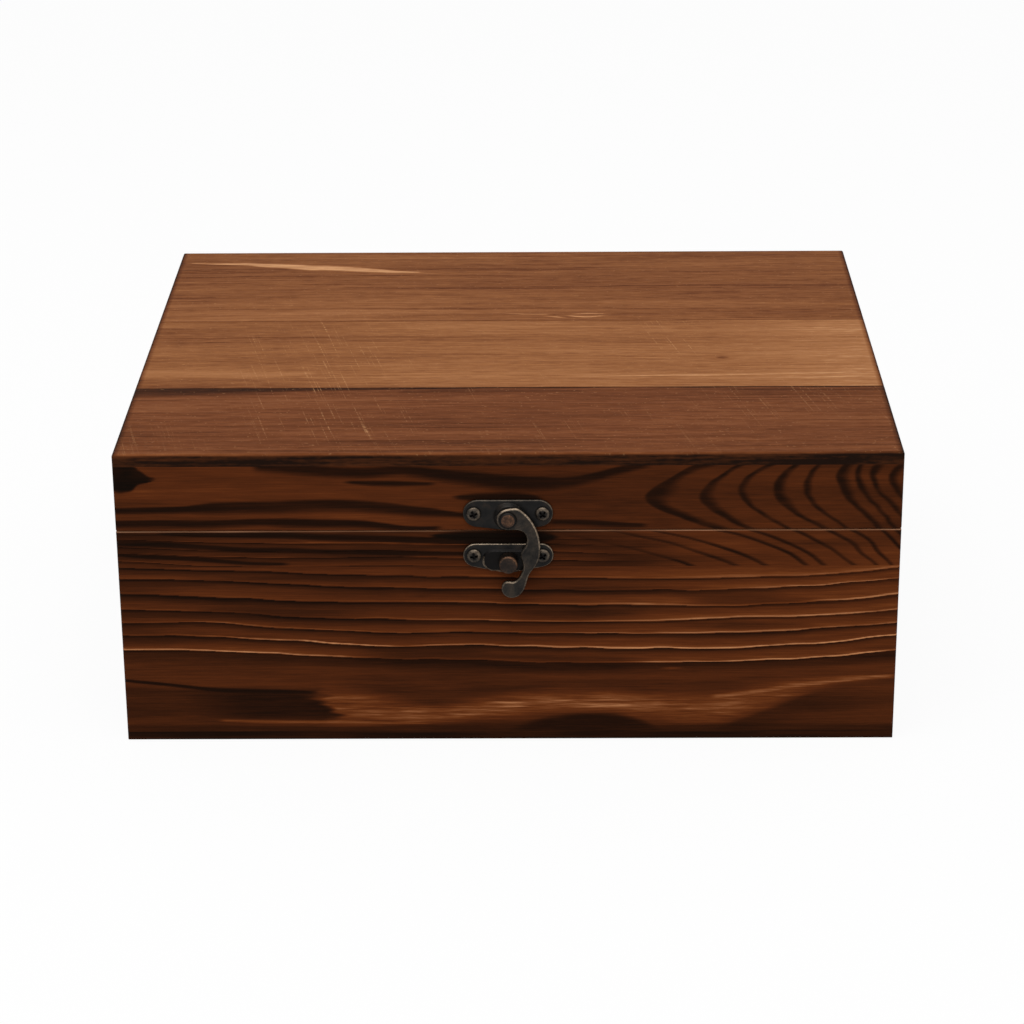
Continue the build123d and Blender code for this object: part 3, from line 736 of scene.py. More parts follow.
def top_piece(node, figure, material):
    """One of the boards of the lid's top."""
    low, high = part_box(node)
    depth = high.y - low.y
    outline, shown = top_outline(low.y, high.y, low.z, high.z)
    rings = stack(outline, board_levels(low.x, high.x, TOP_LEVEL_STEP, TOP_ROUND, TOP_ROUND), 0)
    x, y, z = rings[..., 0], rings[..., 1], rings[..., 2]
    u = (x - low.x) / (high.x - low.x)
    v = (y - low.y) / depth
    show = figure(u, v, depth)
    ends = smooth(*END_BURN, np.minimum(x - low.x, high.x - x))
    fronts = smooth(*EDGE_BURN, high.z - z)
    burnt = np.maximum(END_BURN_STRENGTH * ends, fronts)
    show["tone"] = toward(show["tone"], CHAR + 0.10 * drift(u * 10, z / (0.8 * MM), 73), burnt)
    show["scuff"] = show["scuff"] * (1 - burnt)
    rough = 0.5 + 0.5 * drift(u * 6, v * depth / (1.1 * MM), 71)
    on_top = np.abs(z - high.z) < TINY
    z -= TOP_RELIEF * rough * on_top * edge_fade(rings, 0, low.x, high.x)
    outside = (np.abs(y) > HALF_DEPTH - 0.5 * MM) | (np.abs(x) > HALF_WIDTH - 0.5 * MM)
    tone = np.where(outside, EDGE_TONE + 0.1 * drift(u * 9, z / MM, 72), plain_tone(x, y, len(node)))
    mesh = closed_mesh(node, rings, shown, show, {"tone": tone})
    add_piece(f"{node}_wood", mesh, material, "lid", "lid_top_wood", node)


def bottom_piece(material):
    """The panel under the base, its lower edge rounded."""
    node = "base_bottom_panel"
    low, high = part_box(node)
    outline, shown = bottom_outline(high.z)
    rings = stack(outline, board_levels(low.x, high.x, PLAIN_STEP, CORNER_ROUND, CORNER_ROUND), 0)
    x, y, z = rings[..., 0], rings[..., 1], rings[..., 2]
    charred = BOTTOM_EDGE_TONE + patches(x, z, (0.12, 0.03, MM, 82))
    tone = np.where(np.abs(x) > HALF_WIDTH - MM, charred, plain_tone(x, y, 81))
    mesh = closed_mesh(node, rings, shown, {"tone": charred}, {"tone": tone})
    add_piece(f"{node}_wood", mesh, material, "base", "torched_wood", node)


# Materials

# Sockets of a colour mix: its share, its two colours and its result
MIX_SHARE = 0
MIX_FIRST = 6
MIX_SECOND = 7
MIX_RESULT = 2


class Nodes:
    """A node tree, with the kinds of node that are used here."""

    def __init__(self, owner):
        owner.use_nodes = True
        self.tree = owner.node_tree

    def wire(self, node, inputs):
        """Links or sets a node's inputs, by name or number."""
        for key, value in inputs.items():
            if isinstance(value, bpy.types.NodeSocket):
                self.tree.links.new(value, node.inputs[key])
            else:
                node.inputs[key].default_value = value

    def add(self, kind, inputs=None, **settings):
        """A new node with its settings and inputs."""
        made = self.tree.nodes.new(kind)
        for key, value in settings.items():
            setattr(made, key, value)
        self.wire(made, inputs or {})
        return made

    def place(self):
        """Places on the object, in metres."""
        return self.add("ShaderNodeTexCoord").outputs["Object"]

    def painted(self, name):
        """A value painted on the mesh."""
        return self.add("ShaderNodeAttribute", attribute_name=name).outputs["Fac"]

    def math(self, operation, first, second):
        """Arithmetic on two values."""
        return self.add("ShaderNodeMath", {0: first, 1: second}, operation=operation).outputs[0]

    def span(self, value, low, high, to_low=0.0, to_high=1.0):
        """Maps a value's span to another, held at both ends."""
        ends = {"From Min": low, "From Max": high, "To Min": to_low, "To Max": to_high}
        return self.add("ShaderNodeMapRange", {"Value": value, **ends}).outputs["Result"]

    def ramp(self, value, stops):
        """A colour ramp through stops of a place and a colour."""
        made = self.add("ShaderNodeValToRGB", {"Fac": value})
        elements = made.color_ramp.elements
        while len(elements) < len(stops):
            elements.new(0.5)
        for element, (place, colour) in zip(elements, stops):
            element.position = place
            element.color = colour
        return made.outputs["Color"]

    def noise(self, where, size, detail=4.0, roughness=0.55, turn=0.0):
        """Noise whose features have a size along each axis, in metres."""
        mapping = self.add("ShaderNodeMapping", {"Vector": where, "Rotation": (0, 0, turn)})
        counts = {0: mapping.outputs["Vector"], 1: [1 / length for length in size]}
        stretch = self.add("ShaderNodeVectorMath", counts, operation="MULTIPLY")
        inputs = {"Vector": stretch.outputs[0], "Scale": 1.0, "Detail": detail, "Roughness": roughness}
        return self.add("ShaderNodeTexNoise", inputs).outputs["Fac"]

    def mix(self, share, first, second):
        """One colour laid over another."""
        inputs = {MIX_SHARE: share, MIX_FIRST: first, MIX_SECOND: second}
        return self.add("ShaderNodeMix", inputs, data_type="RGBA").outputs[MIX_RESULT]

    def bump(self, height, strength, distance):
        """A normal raised by a height."""
        inputs = {"Height": height, "Strength": strength, "Distance": distance}
        return self.add("ShaderNodeBump", inputs).outputs["Normal"]


def new_material(name):
    """A material with its shader and its nodes."""
    material = bpy.data.materials.new(name)
    nodes = Nodes(material)
    return material, nodes.tree.nodes["Principled BSDF"], nodes


def linear(red, green, blue):
    """A colour as it is seen on a screen, from 0 to 255, made linear."""
    shares = [value / 255 for value in (red, green, blue)]
    return tuple(s / 12.92 if s < 0.04045 else ((s + 0.055) / 1.055) ** 2.4 for s in shares) + (1.0,)


def top_stops(dark, low, middle, high, pale):
    """A top board's colours, from charred to bare."""
    return ((0.0, dark), (0.28, low), (0.5, middle), (0.72, high), (1.0, pale))


RAW_WOOD = ((0.25, linear(136, 94, 68)), (0.75, linear(190, 142, 108)))
FRONT_STOPS = (
    (0.0, linear(16, 9, 5)),
    (0.16, linear(33, 15, 6)),
    (0.36, linear(58, 27, 10)),
    (0.56, linear(86, 41, 16)),
    (0.67, linear(104, 53, 22)),
    (0.76, linear(126, 73, 40)),
    (1.0, linear(200, 138, 92)),
)
BACK_STOPS = top_stops(
    linear(36, 20, 12), linear(98, 54, 29), linear(129, 79, 44), linear(150, 97, 58), linear(206, 152, 106))
MIDDLE_STOPS = top_stops(
    linear(42, 24, 14), linear(108, 62, 34), linear(138, 87, 50), linear(160, 107, 66), linear(206, 154, 108))
FRONT_TOP_STOPS = top_stops(
    linear(28, 16, 10), linear(80, 42, 20), linear(105, 58, 30), linear(126, 75, 42), linear(184, 128, 86))

# Fibres and finer hairs of brushed and of planed wood: the length and width of each, then their strength
BRUSHED = ((18.0 * MM, 0.38 * MM), (6.0 * MM, 0.23 * MM), 0.13)
PLANED = ((18.0 * MM, 0.8 * MM), (3.2 * MM, 0.8 * MM), 0.2)
FIBRE_SHARE = 0.6
CLOUD = (90 * MM, 16 * MM)
CLOUD_STRENGTH = 0.05
WOOD_SHEEN = 0.03
WOOD_ROUGHNESS = (0.75, 0.55)
WOOD_BUMP = (0.35, 0.3 * MM)

# Scratches across the top boards, broken into dots, and flecks between them: sizes along X, Y and Z
SCRATCH_LEAN = math.radians(-13)
SCRATCH_COLOUR = linear(196, 146, 100)
SCRATCH_SIZE = (0.5 * MM, 45 * MM, 10 * MM)
SCRATCH_DOT_SIZE = (3 * MM, 0.7 * MM, 10 * MM)
SCRATCH_STRENGTH = 0.6
FLECK_SIZE = (1.2 * MM, 0.8 * MM, 10 * MM)
FLECK_STRENGTH = 0.3


def scratches(nodes, where, scuff):
    """Where scratches and flecks show, by how far the wood is scuffed."""
    lines = nodes.noise(where, SCRATCH_SIZE, 2.0, 0.5, SCRATCH_LEAN)
    dots = nodes.noise(where, SCRATCH_DOT_SIZE, 2.0)
    mark = nodes.math("MULTIPLY", nodes.span(lines, 0.62, 0.72), nodes.span(dots, 0.45, 0.62))
    mark = nodes.math("MULTIPLY", mark, nodes.span(scuff, TOP_FLECKS, 1.0, 0.0, SCRATCH_STRENGTH))
    fleck = nodes.span(nodes.noise(where, FLECK_SIZE, 1.0), 0.68, 0.8)
    fleck = nodes.math("MULTIPLY", fleck, nodes.span(scuff, 0.0, TOP_FLECKS, 0.0, FLECK_STRENGTH))
    return nodes.math("MAXIMUM", mark, fleck)


def wood(name, stops, along_axis, fibres_of, scratched=False):
    """Torched softwood whose painted tone is broken up by fibres and pores along the grain."""
    material, shader, nodes = new_material(name)
    where = nodes.place()

    def grain(length, width, detail):
        size = [width] * 3
        size[along_axis] = length
        return nodes.noise(where, size, detail)

    fibre_size, hair_size, strength = fibres_of
    fibre = grain(*fibre_size, 5.0)
    hair = nodes.math("MULTIPLY", grain(*hair_size, 3.0), 1 - FIBRE_SHARE)
    fibres = nodes.math("ADD", nodes.math("MULTIPLY", fibre, FIBRE_SHARE), hair)
    scuff = nodes.painted("scuff")
    shift = nodes.span(fibres, 0.2, 0.8, -strength, strength)
    if not scratched:
        shift = nodes.math("MULTIPLY", shift, nodes.math("ADD", scuff, 1.0))
    cloud = nodes.span(grain(*CLOUD, 3.0), 0.25, 0.75, -CLOUD_STRENGTH, CLOUD_STRENGTH)
    shade = nodes.math("ADD", nodes.painted("tone"), nodes.math("ADD", shift, cloud))
    colour = nodes.mix(nodes.painted("bare"), nodes.ramp(shade, stops), nodes.ramp(fibre, RAW_WOOD))
    if scratched:
        colour = nodes.mix(scratches(nodes, where, scuff), colour, SCRATCH_COLOUR)
    roughness = nodes.span(shade, 0.05, 0.8, *WOOD_ROUGHNESS)
    normal = nodes.bump(fibres, *WOOD_BUMP)
    nodes.wire(shader, {"Base Color": colour, "Roughness": roughness, "Normal": normal})
    shader.inputs["Specular IOR Level"].default_value = WOOD_SHEEN
    return material


# Metal: the black of its painted shade, its patina and rubbed colours, then the sizes of its blotches and
# grit and its finish
SHADE_BLACK = linear(9, 6, 5)
CORNER_REACH = 0.7 * MM
CORNER_SAMPLES = 8
CORNER_SHADE = 0.85
PATINA_STOPS = ((0.3, linear(18, 17, 17)), (0.5, linear(27, 26, 25)), (0.72, linear(42, 35, 30)))
BRONZE_STOPS = ((0.3, linear(116, 98, 80)), (0.7, linear(200, 178, 152)))
# Copper colours for rubbed copper and for the painted glints on the rivet and stud
COPPER_AND_GLINT_STOPS = ((0.3, linear(96, 62, 42)), (0.7, linear(172, 122, 86)))
BLOTCH_SIZE = (4 * MM, 4 * MM, 4 * MM)
GRIT_SIZE = (0.6 * MM, 0.6 * MM, 0.6 * MM)
METALLIC = 0.85
METAL_ROUGHNESS = (0.32, 0.55)
METAL_BUMP = (0.25, 0.1 * MM)


def metal(name, rubbed_stops):
    """Antique bronze: a dark patina, rubbed through along the edges, with painted shade in the corners and on
    faces marked dark.
    """
    material, shader, nodes = new_material(name)
    where = nodes.place()
    wear_and_light = nodes.painted("wear_and_light")
    blotch = nodes.noise(where, BLOTCH_SIZE, 5.0, 0.6)
    grit = nodes.noise(where, GRIT_SIZE, 4.0, 0.6)
    worn_and_lit = nodes.math("MULTIPLY", nodes.span(wear_and_light, 0.0, 1.0), nodes.span(blotch, 0.30, 0.62, 0.15, 1.0))
    worn_and_lit = nodes.math("MULTIPLY", worn_and_lit, nodes.span(grit, 0.25, 0.6, 0.5, 1.0))
    colour = nodes.mix(worn_and_lit, nodes.ramp(blotch, PATINA_STOPS), nodes.ramp(grit, rubbed_stops))
    # Painted shade: black laid over faces whose wear value is below 0
    colour = nodes.mix(nodes.span(wear_and_light, 0.0, -1.0), colour, SHADE_BLACK)
    # Painted shade in corners and crevices, darker the nearer other surfaces are
    corners = nodes.add("ShaderNodeAmbientOcclusion", {"Distance": CORNER_REACH}, samples=CORNER_SAMPLES)
    colour = nodes.mix(nodes.span(corners.outputs["AO"], 0.95, 0.45, 0.0, CORNER_SHADE), colour, SHADE_BLACK)
    roughness = nodes.span(grit, 0.25, 0.75, *METAL_ROUGHNESS)
    normal = nodes.bump(grit, *METAL_BUMP)
    nodes.wire(shader, {"Base Color": colour, "Roughness": roughness, "Normal": normal})
    shader.inputs["Metallic"].default_value = METALLIC
    return material


# Metalwork

EDGE_ROUND = 0.12 * MM
EDGE_SEGMENTS = 3
EDGE_SHARP = math.radians(30)
FLAT_ANGLE = math.radians(1)
METAL_SHARP = math.radians(40)
MERGE = 2e-6
TURNED_SIDES = 40
DOME_RINGS = 8

# Wear and painted light: from 0 to 1 how far a face is rubbed, some faces with a painted highlight, and below
# 0 how dark its painted shade is
EDGE_FACING = (0.15, 0.4, 0.93, 0.995)
WIDE_EDGE = 0.65 * MM
RUB_AND_LIGHT_ACROSS = 0.6
RUB_AND_LIGHT_UP = 0.8
PANEL_RISE = 0.695 * MM
PANEL_SHADE = -0.85
SLOPE_WEAR_AND_HIGHLIGHT = 0.8
SLOPE_AIM = Vector((-0.75, 0.0, -0.65))
SLOPE_LEAST = 0.3
BOSS_RISE = 1.39 * MM
BOSS_WEAR = 0.02
RIVET_RING = 0.72
RIVET_RING_SHADE = -0.45
RECESS_SHADE = -0.9
SCREW_RUB = 0.5
SCREW_EVEN = 0.4


def to_mesh(built, name):
    """Ends the building of a mesh."""
    mesh = bpy.data.meshes.new(name)
    built.to_mesh(mesh)
    built.free()
    return mesh


def rounded_copy(node):
    """A copy of a CAD node's mesh with its triangles joined into faces and its sharp edges rounded."""
    built = bmesh.new()
    built.from_mesh(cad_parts[node].data)
    bmesh.ops.remove_doubles(built, verts=built.verts, dist=MERGE)
    bmesh.ops.dissolve_limit(built, angle_limit=FLAT_ANGLE, verts=built.verts, edges=built.edges)
    sharp = [edge for edge in built.edges if edge.calc_face_angle(0) > EDGE_SHARP]
    bmesh.ops.bevel(built, geom=sharp, offset=EDGE_ROUND, offset_type="OFFSET", segments=EDGE_SEGMENTS,
                    profile=0.5, affect="EDGES", clamp_overlap=True)
    return to_mesh(built, node)


def face_width(mesh, face):
    """About how wide a face is across its narrow way."""
    corners = [mesh.vertices[index].co for index in face.vertices]
    return 2 * face.area / sum((a - b).length for a, b in zip(corners, corners[1:] + corners[:1]))


def mark_wear_and_light(mesh, rub, even, flat=0.0, upward_share=RUB_AND_LIGHT_UP):
    """Marks where the metal is rubbed, its rounded edges, with a painted highlight on those that face up and
    to the right, where the light falls.
    """
    normals = np.zeros(len(mesh.polygons) * 3)
    mesh.polygons.foreach_get("normal", normals)
    across, facing, upward = normals.reshape(-1, 3).T
    widths = np.array([face_width(mesh, face) for face in mesh.polygons])
    edge = window(*EDGE_FACING, np.abs(facing)) * smooth(WIDE_EDGE, 0.75 * WIDE_EDGE, widths)
    # Edges that face up and to the right get more, as a painted highlight from the light above
    held_and_lit = np.clip(RUB_AND_LIGHT_ACROSS * across + upward_share * upward, 0, 1)
    wear_and_light = np.maximum(flat, rub * edge * (even + (1 - even) * held_and_lit))
    attribute = mesh.attributes.new("wear_and_light", "FLOAT", "FACE")
    attribute.data.foreach_set("value", wear_and_light.astype(np.float32))
    mesh.shade_smooth()
    mesh.set_sharp_from_angle(angle=METAL_SHARP)


def set_wear_and_light(mesh, value, chosen):
    """Gives one value, for wear and for painted light and shade, to the faces that a test chooses."""
    wear_and_light = mesh.attributes["wear_and_light"].data
    for face in mesh.polygons:
        if chosen(face):
            wear_and_light[face.index].value = value


def mark_panel(mesh, low, high):
    """Paints shadow on the raised panel of the catch plate, but for its slope at the lower left, which is
    rubbed and given a painted highlight.
    """

    def raised(face):
        return face.center.y < low.y + PANEL_RISE

    set_wear_and_light(mesh, PANEL_SHADE, raised)
    set_wear_and_light(mesh, SLOPE_WEAR_AND_HIGHLIGHT, lambda face: raised(face) and face.normal.dot(SLOPE_AIM) > SLOPE_LEAST)


def mark_boss(mesh, low, high):
    """Keeps the patina on the boss of the hasp plate, which the hook shields."""
    set_wear_and_light(mesh, BOSS_WEAR, lambda face: face.center.y < low.y + BOSS_RISE)


def mark_ring(mesh, low, high):
    """Paints shade on the rim of the rivet's head."""
    middle = (low + high) / 2
    reach = RIVET_RING * (high.x - low.x) / 2
    set_wear_and_light(mesh, RIVET_RING_SHADE, lambda face: (face.center - middle).xz.length > reach)


def add_metal(node, mesh, body, material, rub=0.9, even=0.25, flat=0.0, upward_share=RUB_AND_LIGHT_UP, mark=None):
    """Marks wear and painted light and shade on a piece of the metalwork, with its own marks if it has any,
    and places it.
    """
    mark_wear_and_light(mesh, rub, even, flat, upward_share)
    if mark:
        mark(mesh, *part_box(node))
    add_piece(f"{node}_metal", mesh, material, body, "antique_bronze", node)


def metal_piece(node, body, material, **wear_and_light):
    """A piece of the metalwork, as in CAD but with rounded edges."""
    add_metal(node, rounded_copy(node), body, material, **wear_and_light)


def turned(profile):
    """A solid turned about the Z axis from a profile of radii and heights, from the top down."""
    built = bmesh.new()
    verts = [built.verts.new((radius, 0.0, height)) for radius, height in profile]
    edges = [built.edges.new(pair) for pair in zip(verts, verts[1:])]
    bmesh.ops.spin(built, geom=verts + edges, axis=(0, 0, 1), cent=(0, 0, 0), steps=TURNED_SIDES,
                   angle=2 * math.pi)
    bmesh.ops.remove_doubles(built, verts=built.verts, dist=MERGE)
    bmesh.ops.recalc_face_normals(built, faces=built.faces)
    return built


def turned_piece(node, body, profile, material, **wear_and_light):
    """A rivet or stud on the front, turned from a profile whose heights run down from its outer end."""
    low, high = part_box(node)
    built = turned(profile)
    stand = Matrix.Rotation(QUARTER, 4, "X")
    place = Matrix.Translation(((low.x + high.x) / 2, low.y, (low.z + high.z) / 2))
    bmesh.ops.transform(built, matrix=place @ stand, verts=built.verts)
    add_metal(node, to_mesh(built, node), body, material, **wear_and_light)


# Rivet and stud: radii and heights as in CAD, with the crowns that hammering gave them
RIVET_HEAD = (2.6 * MM, 1.2 * MM)
RIVET_SHANK = (1.5 * MM, 2.5 * MM)
RIVET_TAIL = (2.3 * MM, 0.6 * MM)
STUD_POST = (2.9 * MM, 4.1 * MM)
STUD_NECK = (1.2 * MM, 0.8 * MM)
STUD_TAIL = (1.8 * MM, 0.5 * MM)
RIVET_CROWN = 0.95 * MM
STUD_CROWN = 0.3 * MM
STUD_ROUND = 0.8 * MM


def stepped(*steps):
    """The rest of a profile: cylinders of a radius and a length below one another."""
    profile = []
    height = 0.0
    for radius, length in steps:
        profile += [(radius, height), (radius, height - length)]
        height -= length
    return profile + [(0.0, height)]


def quarter_round(radius, drop):
    """A quarter of an oval from its top out to its side."""
    turns = np.linspace(0, QUARTER, DOME_RINGS)
    return [(radius * math.sin(turn), -drop * (1 - math.cos(turn))) for turn in turns]


def rivet_profile():
    """A domed head, a shank and a spread tail."""
    dome = quarter_round(RIVET_HEAD[0], RIVET_CROWN)
    return dome + stepped(RIVET_HEAD, RIVET_SHANK, RIVET_TAIL)[1:]


def stud_profile():
    """A post with a rounded, slightly crowned end, on a neck and a spread tail."""
    flat = STUD_POST[0] - STUD_ROUND
    crown = [(flat * share, -STUD_CROWN * share * share) for share in np.linspace(0, 1, DOME_RINGS)]
    edge = [(flat + x, z - STUD_CROWN) for x, z in quarter_round(STUD_ROUND, STUD_ROUND)[1:]]
    return crown + edge + stepped(STUD_POST, STUD_NECK, STUD_TAIL)[1:]


# Screws: the heights of their heads, then shares of the head's radius or height
HEAD_HEIGHTS = {"hasp": 1.1 * MM, "hinge": 0.9 * MM}
RIM_SHARE = 0.22
SHANK_SHARE = 0.45
SHANK_POINT_SHARE = 0.75
RECESS_LENGTH_SHARE = 0.62
RECESS_WIDTH_SHARE = 0.17
RECESS_DEPTH_SHARE = 0.7
RECESS_TAPER = (0.55, 1.6)
RECESS_REACH_SHARE = 0.9
RECESS_MARK_SHARE = 0.08


def dome_height(off, radius, height):
    """How high a screw's domed head stands over its seat at a distance from its middle."""
    rim = RIM_SHARE * height
    return rim + (height - rim) * math.sqrt(max(0.0, 1 - (off / radius) ** 2))


def screw_blank(radius, height, length):
    """A round-headed screw on the Z axis, its seat at zero, turned from a profile."""
    shank = radius * SHANK_SHARE
    spots = [radius * math.sin(turn) for turn in np.linspace(0, QUARTER, DOME_RINGS)]
    profile = [(spot, dome_height(spot, radius, height)) for spot in spots]
    profile += [(radius, 0.0), (shank, 0.0), (shank, -SHANK_POINT_SHARE * length), (0.0, -length)]
    return turned(profile)


def recess_cutter(radius, height):
    """A tapered cross that cuts the driver's recess."""
    built = bmesh.new()
    reach, half = radius * RECESS_LENGTH_SHARE, radius * RECESS_WIDTH_SHARE
    plan = []
    for quarter in range(4):
        turn = Matrix.Rotation(quarter * QUARTER, 2)
        plan += [turn @ Vector(point) for point in ((reach, -half), (reach, half), (half, half))]
    rings = []
    for z, share in zip((height * (1 - RECESS_DEPTH_SHARE), height * 2), RECESS_TAPER):
        rings.append([built.verts.new((point.x * share, point.y * share, z)) for point in plan])
    count = len(plan)
    for i in range(count):
        j = (i + 1) % count
        built.faces.new((rings[0][i], rings[0][j], rings[1][j], rings[1][i]))
    built.faces.new(rings[0][::-1])
    built.faces.new(rings[1])
    bmesh.ops.recalc_face_normals(built, faces=built.faces)
    return built


def cut_screw(radius, height, length):
    """The screw with its cross recess, as a mesh."""
    objects = []
    for built in (screw_blank(radius, height, length), recess_cutter(radius, height)):
        objects.append(new_object("screw_stock", to_mesh(built, "screw_stock")))
    blank, cutter = objects
    cut = blank.modifiers.new("recess", "BOOLEAN")
    cut.operation = "DIFFERENCE"
    cut.object = cutter
    cut.solver = "EXACT"
    bpy.context.view_layer.update()
    shaped = bpy.data.meshes.new_from_object(blank.evaluated_get(bpy.context.evaluated_depsgraph_get()))
    for made in objects:
        bpy.data.objects.remove(made)
    return shaped


def sunk(face, radius, height, middles):
    """Whether a face lies in a driver's recess, below the dome of the head."""
    off = min((face.center - middle).xz.length for middle in middles)
    dome = dome_height(min(off, radius), radius, height)
    above = abs(face.center.y - middles[0].y)
    return off < RECESS_REACH_SHARE * radius and above < dome - RECESS_MARK_SHARE * height


def screw_pair(node, body, kind, outward, turns, material):
    """The two screws of a plate or leaf, each turned by its own angle."""
    low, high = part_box(node)
    radius = (high.z - low.z) / 2
    height = HEAD_HEIGHTS[kind]
    length = high.y - low.y - height
    seat = low.y + height if outward < 0 else high.y - height
    middles = [Vector((x, seat, (low.z + high.z) / 2)) for x in (low.x + radius, high.x - radius)]
    shaped = cut_screw(radius, height, length)
    stand = Matrix.Rotation(-outward * QUARTER, 4, "X")
    built = bmesh.new()
    for middle, turn in zip(middles, turns):
        start = len(built.verts)
        built.from_mesh(shaped)
        built.verts.ensure_lookup_table()
        place = Matrix.Translation(middle) @ stand @ Matrix.Rotation(math.radians(turn), 4, "Z")
        bmesh.ops.transform(built, matrix=place, verts=built.verts[start:])

    # Painted shade in the drivers' recesses
    def shade_recesses(mesh, *_):
        set_wear_and_light(mesh, RECESS_SHADE, lambda face: sunk(face, radius, height, middles))

    add_metal(node, to_mesh(built, node), body, material, SCREW_RUB, SCREW_EVEN, mark=shade_recesses)


# Build

BACK_SEED = 5
BACK_SPACING = 6.0 * MM
SIDE_SEEDS = {"right": 7, "left": 9}
SIDE_SPACING = 5.5 * MM
HASP_TURNS = (22, 48)
CATCH_TURNS = (8, 35)
HINGE_TURNS = {"left": (15, 60), "right": (40, 5)}

torched = wood("torched_wood_x", FRONT_STOPS, 0, BRUSHED)
torched_sides = wood("torched_wood_y", FRONT_STOPS, 1, BRUSHED)
back_top = wood("top_wood_back", BACK_STOPS, 0, PLANED, scratched=True)
middle_top = wood("top_wood_middle", MIDDLE_STOPS, 0, PLANED, scratched=True)
front_top = wood("top_wood_front", FRONT_TOP_STOPS, 0, PLANED, scratched=True)
bronze = metal("antique_bronze", BRONZE_STOPS)
copper_and_glint = metal("rubbed_copper_and_glint", COPPER_AND_GLINT_STOPS)

front_plan = long_outline(FRONT_STEP)
back_plan = long_outline(SHOW_STEP)
side_plan = side_outline()
back_grain = straight(BACK_SEED, BACK_SPACING)
wall("base_front_lower_board", "base", front_plan, 1, face_shares(lower_front_figure), torched)
wall("base_front_upper_board", "base", front_plan, 1, face_shares(strip_figure), torched, base_rim=True)
wall("lid_front_rail", "lid", front_plan, 1, face_shares(rail_figure), torched, lid_rim=True)
wall("base_back_board", "base", back_plan, 1, back_grain, torched, turn=True, base_rim=True)
wall("lid_back_rail", "lid", back_plan, 1, back_grain, torched, turn=True, lid_rim=True)
for hand, seed in SIDE_SEEDS.items():
    turn = hand == "left"
    side_grain = straight(seed, SIDE_SPACING)
    wall(f"base_{hand}_board", "base", side_plan, 0, side_grain, torched_sides, turn, base_rim=True)
    wall(f"lid_{hand}_rail", "lid", side_plan, 0, side_grain, torched_sides, turn, lid_rim=True)
top_piece("lid_top_front_board", front_top_figure, front_top)
top_piece("lid_top_middle_board", middle_top_figure, middle_top)
top_piece("lid_top_back_board", back_top_figure, back_top)
bottom_piece(torched)

metal_piece("hasp_plate", "lid", bronze, even=0.15, upward_share=0.12, mark=mark_boss)
metal_piece("hasp_hook", "hook", bronze, rub=1.0, flat=0.045)
metal_piece("catch_plate", "base", bronze, even=0.6, mark=mark_panel)
# The copper over the rivet's head and on the stud is partly wear and partly painted glints; the rivet's rim
# has painted shade
turned_piece("hasp_rivet", "lid", rivet_profile(), copper_and_glint, rub=0.8, even=0.5, flat=0.4, mark=mark_ring)
turned_piece("catch_stud", "base", stud_profile(), copper_and_glint, rub=0.75, even=0.3, flat=0.08)
screw_pair("hasp_plate_screws", "lid", "hasp", -1, HASP_TURNS, bronze)
screw_pair("catch_plate_screws", "base", "hasp", -1, CATCH_TURNS, bronze)
for hand, turns in HINGE_TURNS.items():
    metal_piece(f"{hand}_hinge_pin", "base", bronze)
    for body in ("base", "lid"):
        metal_piece(f"{hand}_hinge_{body}_leaf", body, bronze)
        screw_pair(f"{hand}_hinge_{body}_screws", body, "hinge", 1, turns, bronze)

# Stage

FLOOR_SIZE = 6.0
FLOOR_DROP = 0.2 * MM
FLOOR_COLOUR = (0.86, 0.86, 0.86, 1.0)
FLOOR_ROUGHNESS = 0.9
FLOOR_WHITE_SHARE = 0.93
WORLD_LIGHT = 0.55
KEY_POWER = 14.0
KEY_SIZE = 1.3
KEY_PLACE = Vector((-0.15, -0.55, 1.35))
CAMERA_PLACE = Vector((11.0, -968.5, 428.9)) * MM
CAMERA_PITCH = math.radians(22.113)
CAMERA_YAW = math.radians(0.647)
CAMERA_ROLL = math.radians(0.441)
CAMERA_FOCUS_PIXELS = 3070.8
IMAGE_PIXELS = 1024
SENSOR_MM = 36.0


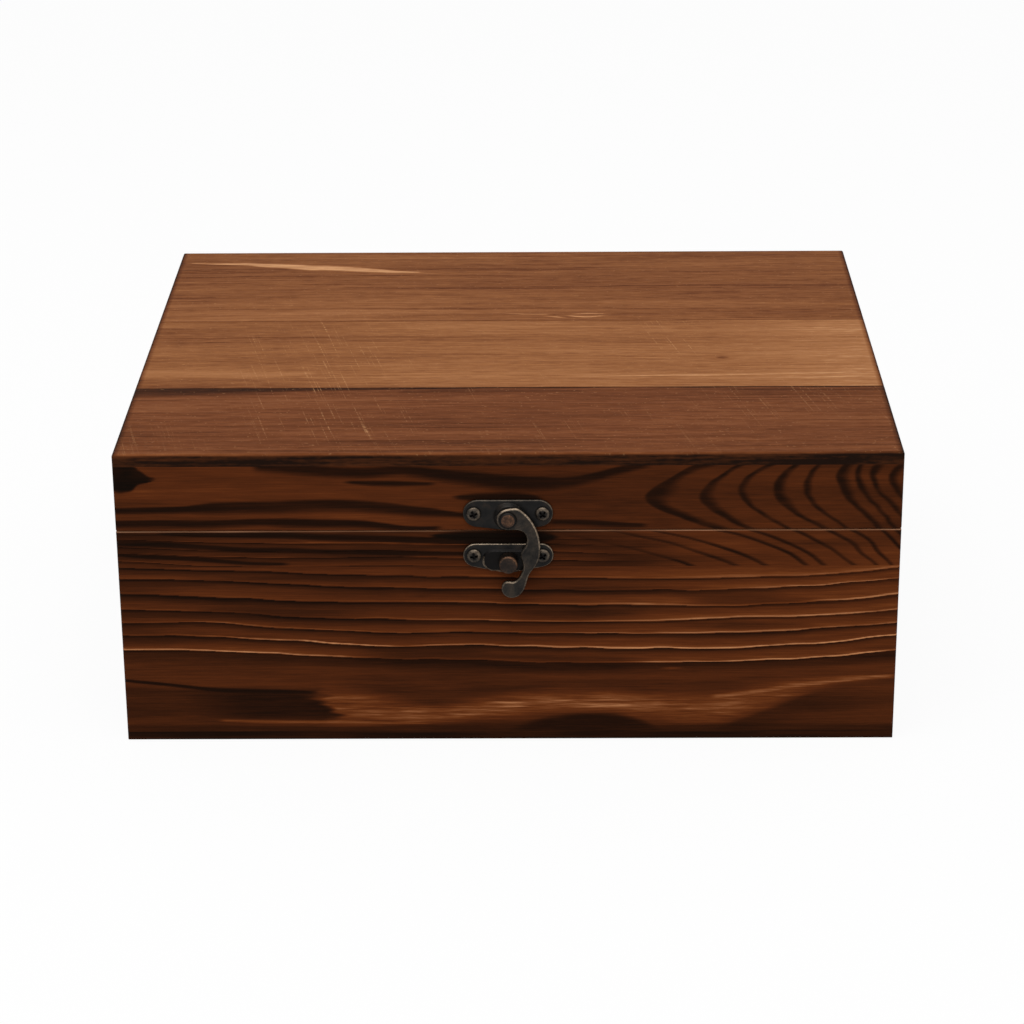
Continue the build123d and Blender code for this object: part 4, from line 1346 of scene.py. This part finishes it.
def seen_white(nodes):
    """1 for the rays that should see plain white: from the camera, mirrored or let through."""
    rays = nodes.add("ShaderNodeLightPath").outputs
    straight_or_mirrored = nodes.math("MAXIMUM", rays["Is Camera Ray"], rays["Is Glossy Ray"])
    return nodes.math("MAXIMUM", straight_or_mirrored, rays["Is Transmission Ray"])


def floor():
    """A white floor that keeps the box's soft shadow."""
    built = bmesh.new()
    bmesh.ops.create_grid(built, x_segments=1, y_segments=1, size=FLOOR_SIZE / 2)
    mesh = to_mesh(built, "floor")
    made = new_object("floor", mesh)
    made.location.z = -FLOOR_DROP
    material, shader, nodes = new_material("floor_white")
    nodes.wire(shader, {"Base Color": FLOOR_COLOUR, "Roughness": FLOOR_ROUGHNESS})
    white = nodes.math("MULTIPLY", seen_white(nodes), FLOOR_WHITE_SHARE)
    glow = nodes.add("ShaderNodeEmission")
    blend = nodes.add("ShaderNodeMixShader", {0: white, 1: shader.outputs[0], 2: glow.outputs[0]})
    nodes.wire(nodes.tree.nodes["Material Output"], {"Surface": blend.outputs[0]})
    mesh.materials.append(material)


def light_world():
    """A soft surround that the camera sees as white."""
    world = bpy.data.worlds.new("studio")
    bpy.context.scene.world = world
    nodes = Nodes(world)
    strength = nodes.span(seen_white(nodes), 0.0, 1.0, WORLD_LIGHT, 1.0)
    nodes.wire(nodes.tree.nodes["Background"], {"Color": (1.0, 1.0, 1.0, 1.0), "Strength": strength})


def key_light():
    """One large soft lamp above the front of the box."""
    lamp = bpy.data.lights.new("key", "AREA")
    lamp.energy = KEY_POWER
    lamp.size = KEY_SIZE
    made = new_object("key", lamp)
    made.location = KEY_PLACE
    made.rotation_euler = (-KEY_PLACE).to_track_quat("-Z", "Y").to_euler()


def camera():
    """The photograph's view."""
    lens = bpy.data.cameras.new("camera")
    lens.sensor_width = SENSOR_MM
    lens.lens = CAMERA_FOCUS_PIXELS / IMAGE_PIXELS * SENSOR_MM
    made = new_object("camera", lens)
    aim = Euler((QUARTER - CAMERA_PITCH, 0, CAMERA_YAW)).to_matrix().to_4x4()
    made.matrix_world = Matrix.Translation(CAMERA_PLACE) @ aim @ Matrix.Rotation(-CAMERA_ROLL, 4, "Z")
    bpy.context.scene.camera = made


floor()
light_world()
key_light()
camera()
bpy.context.scene.view_settings.view_transform = "Standard"
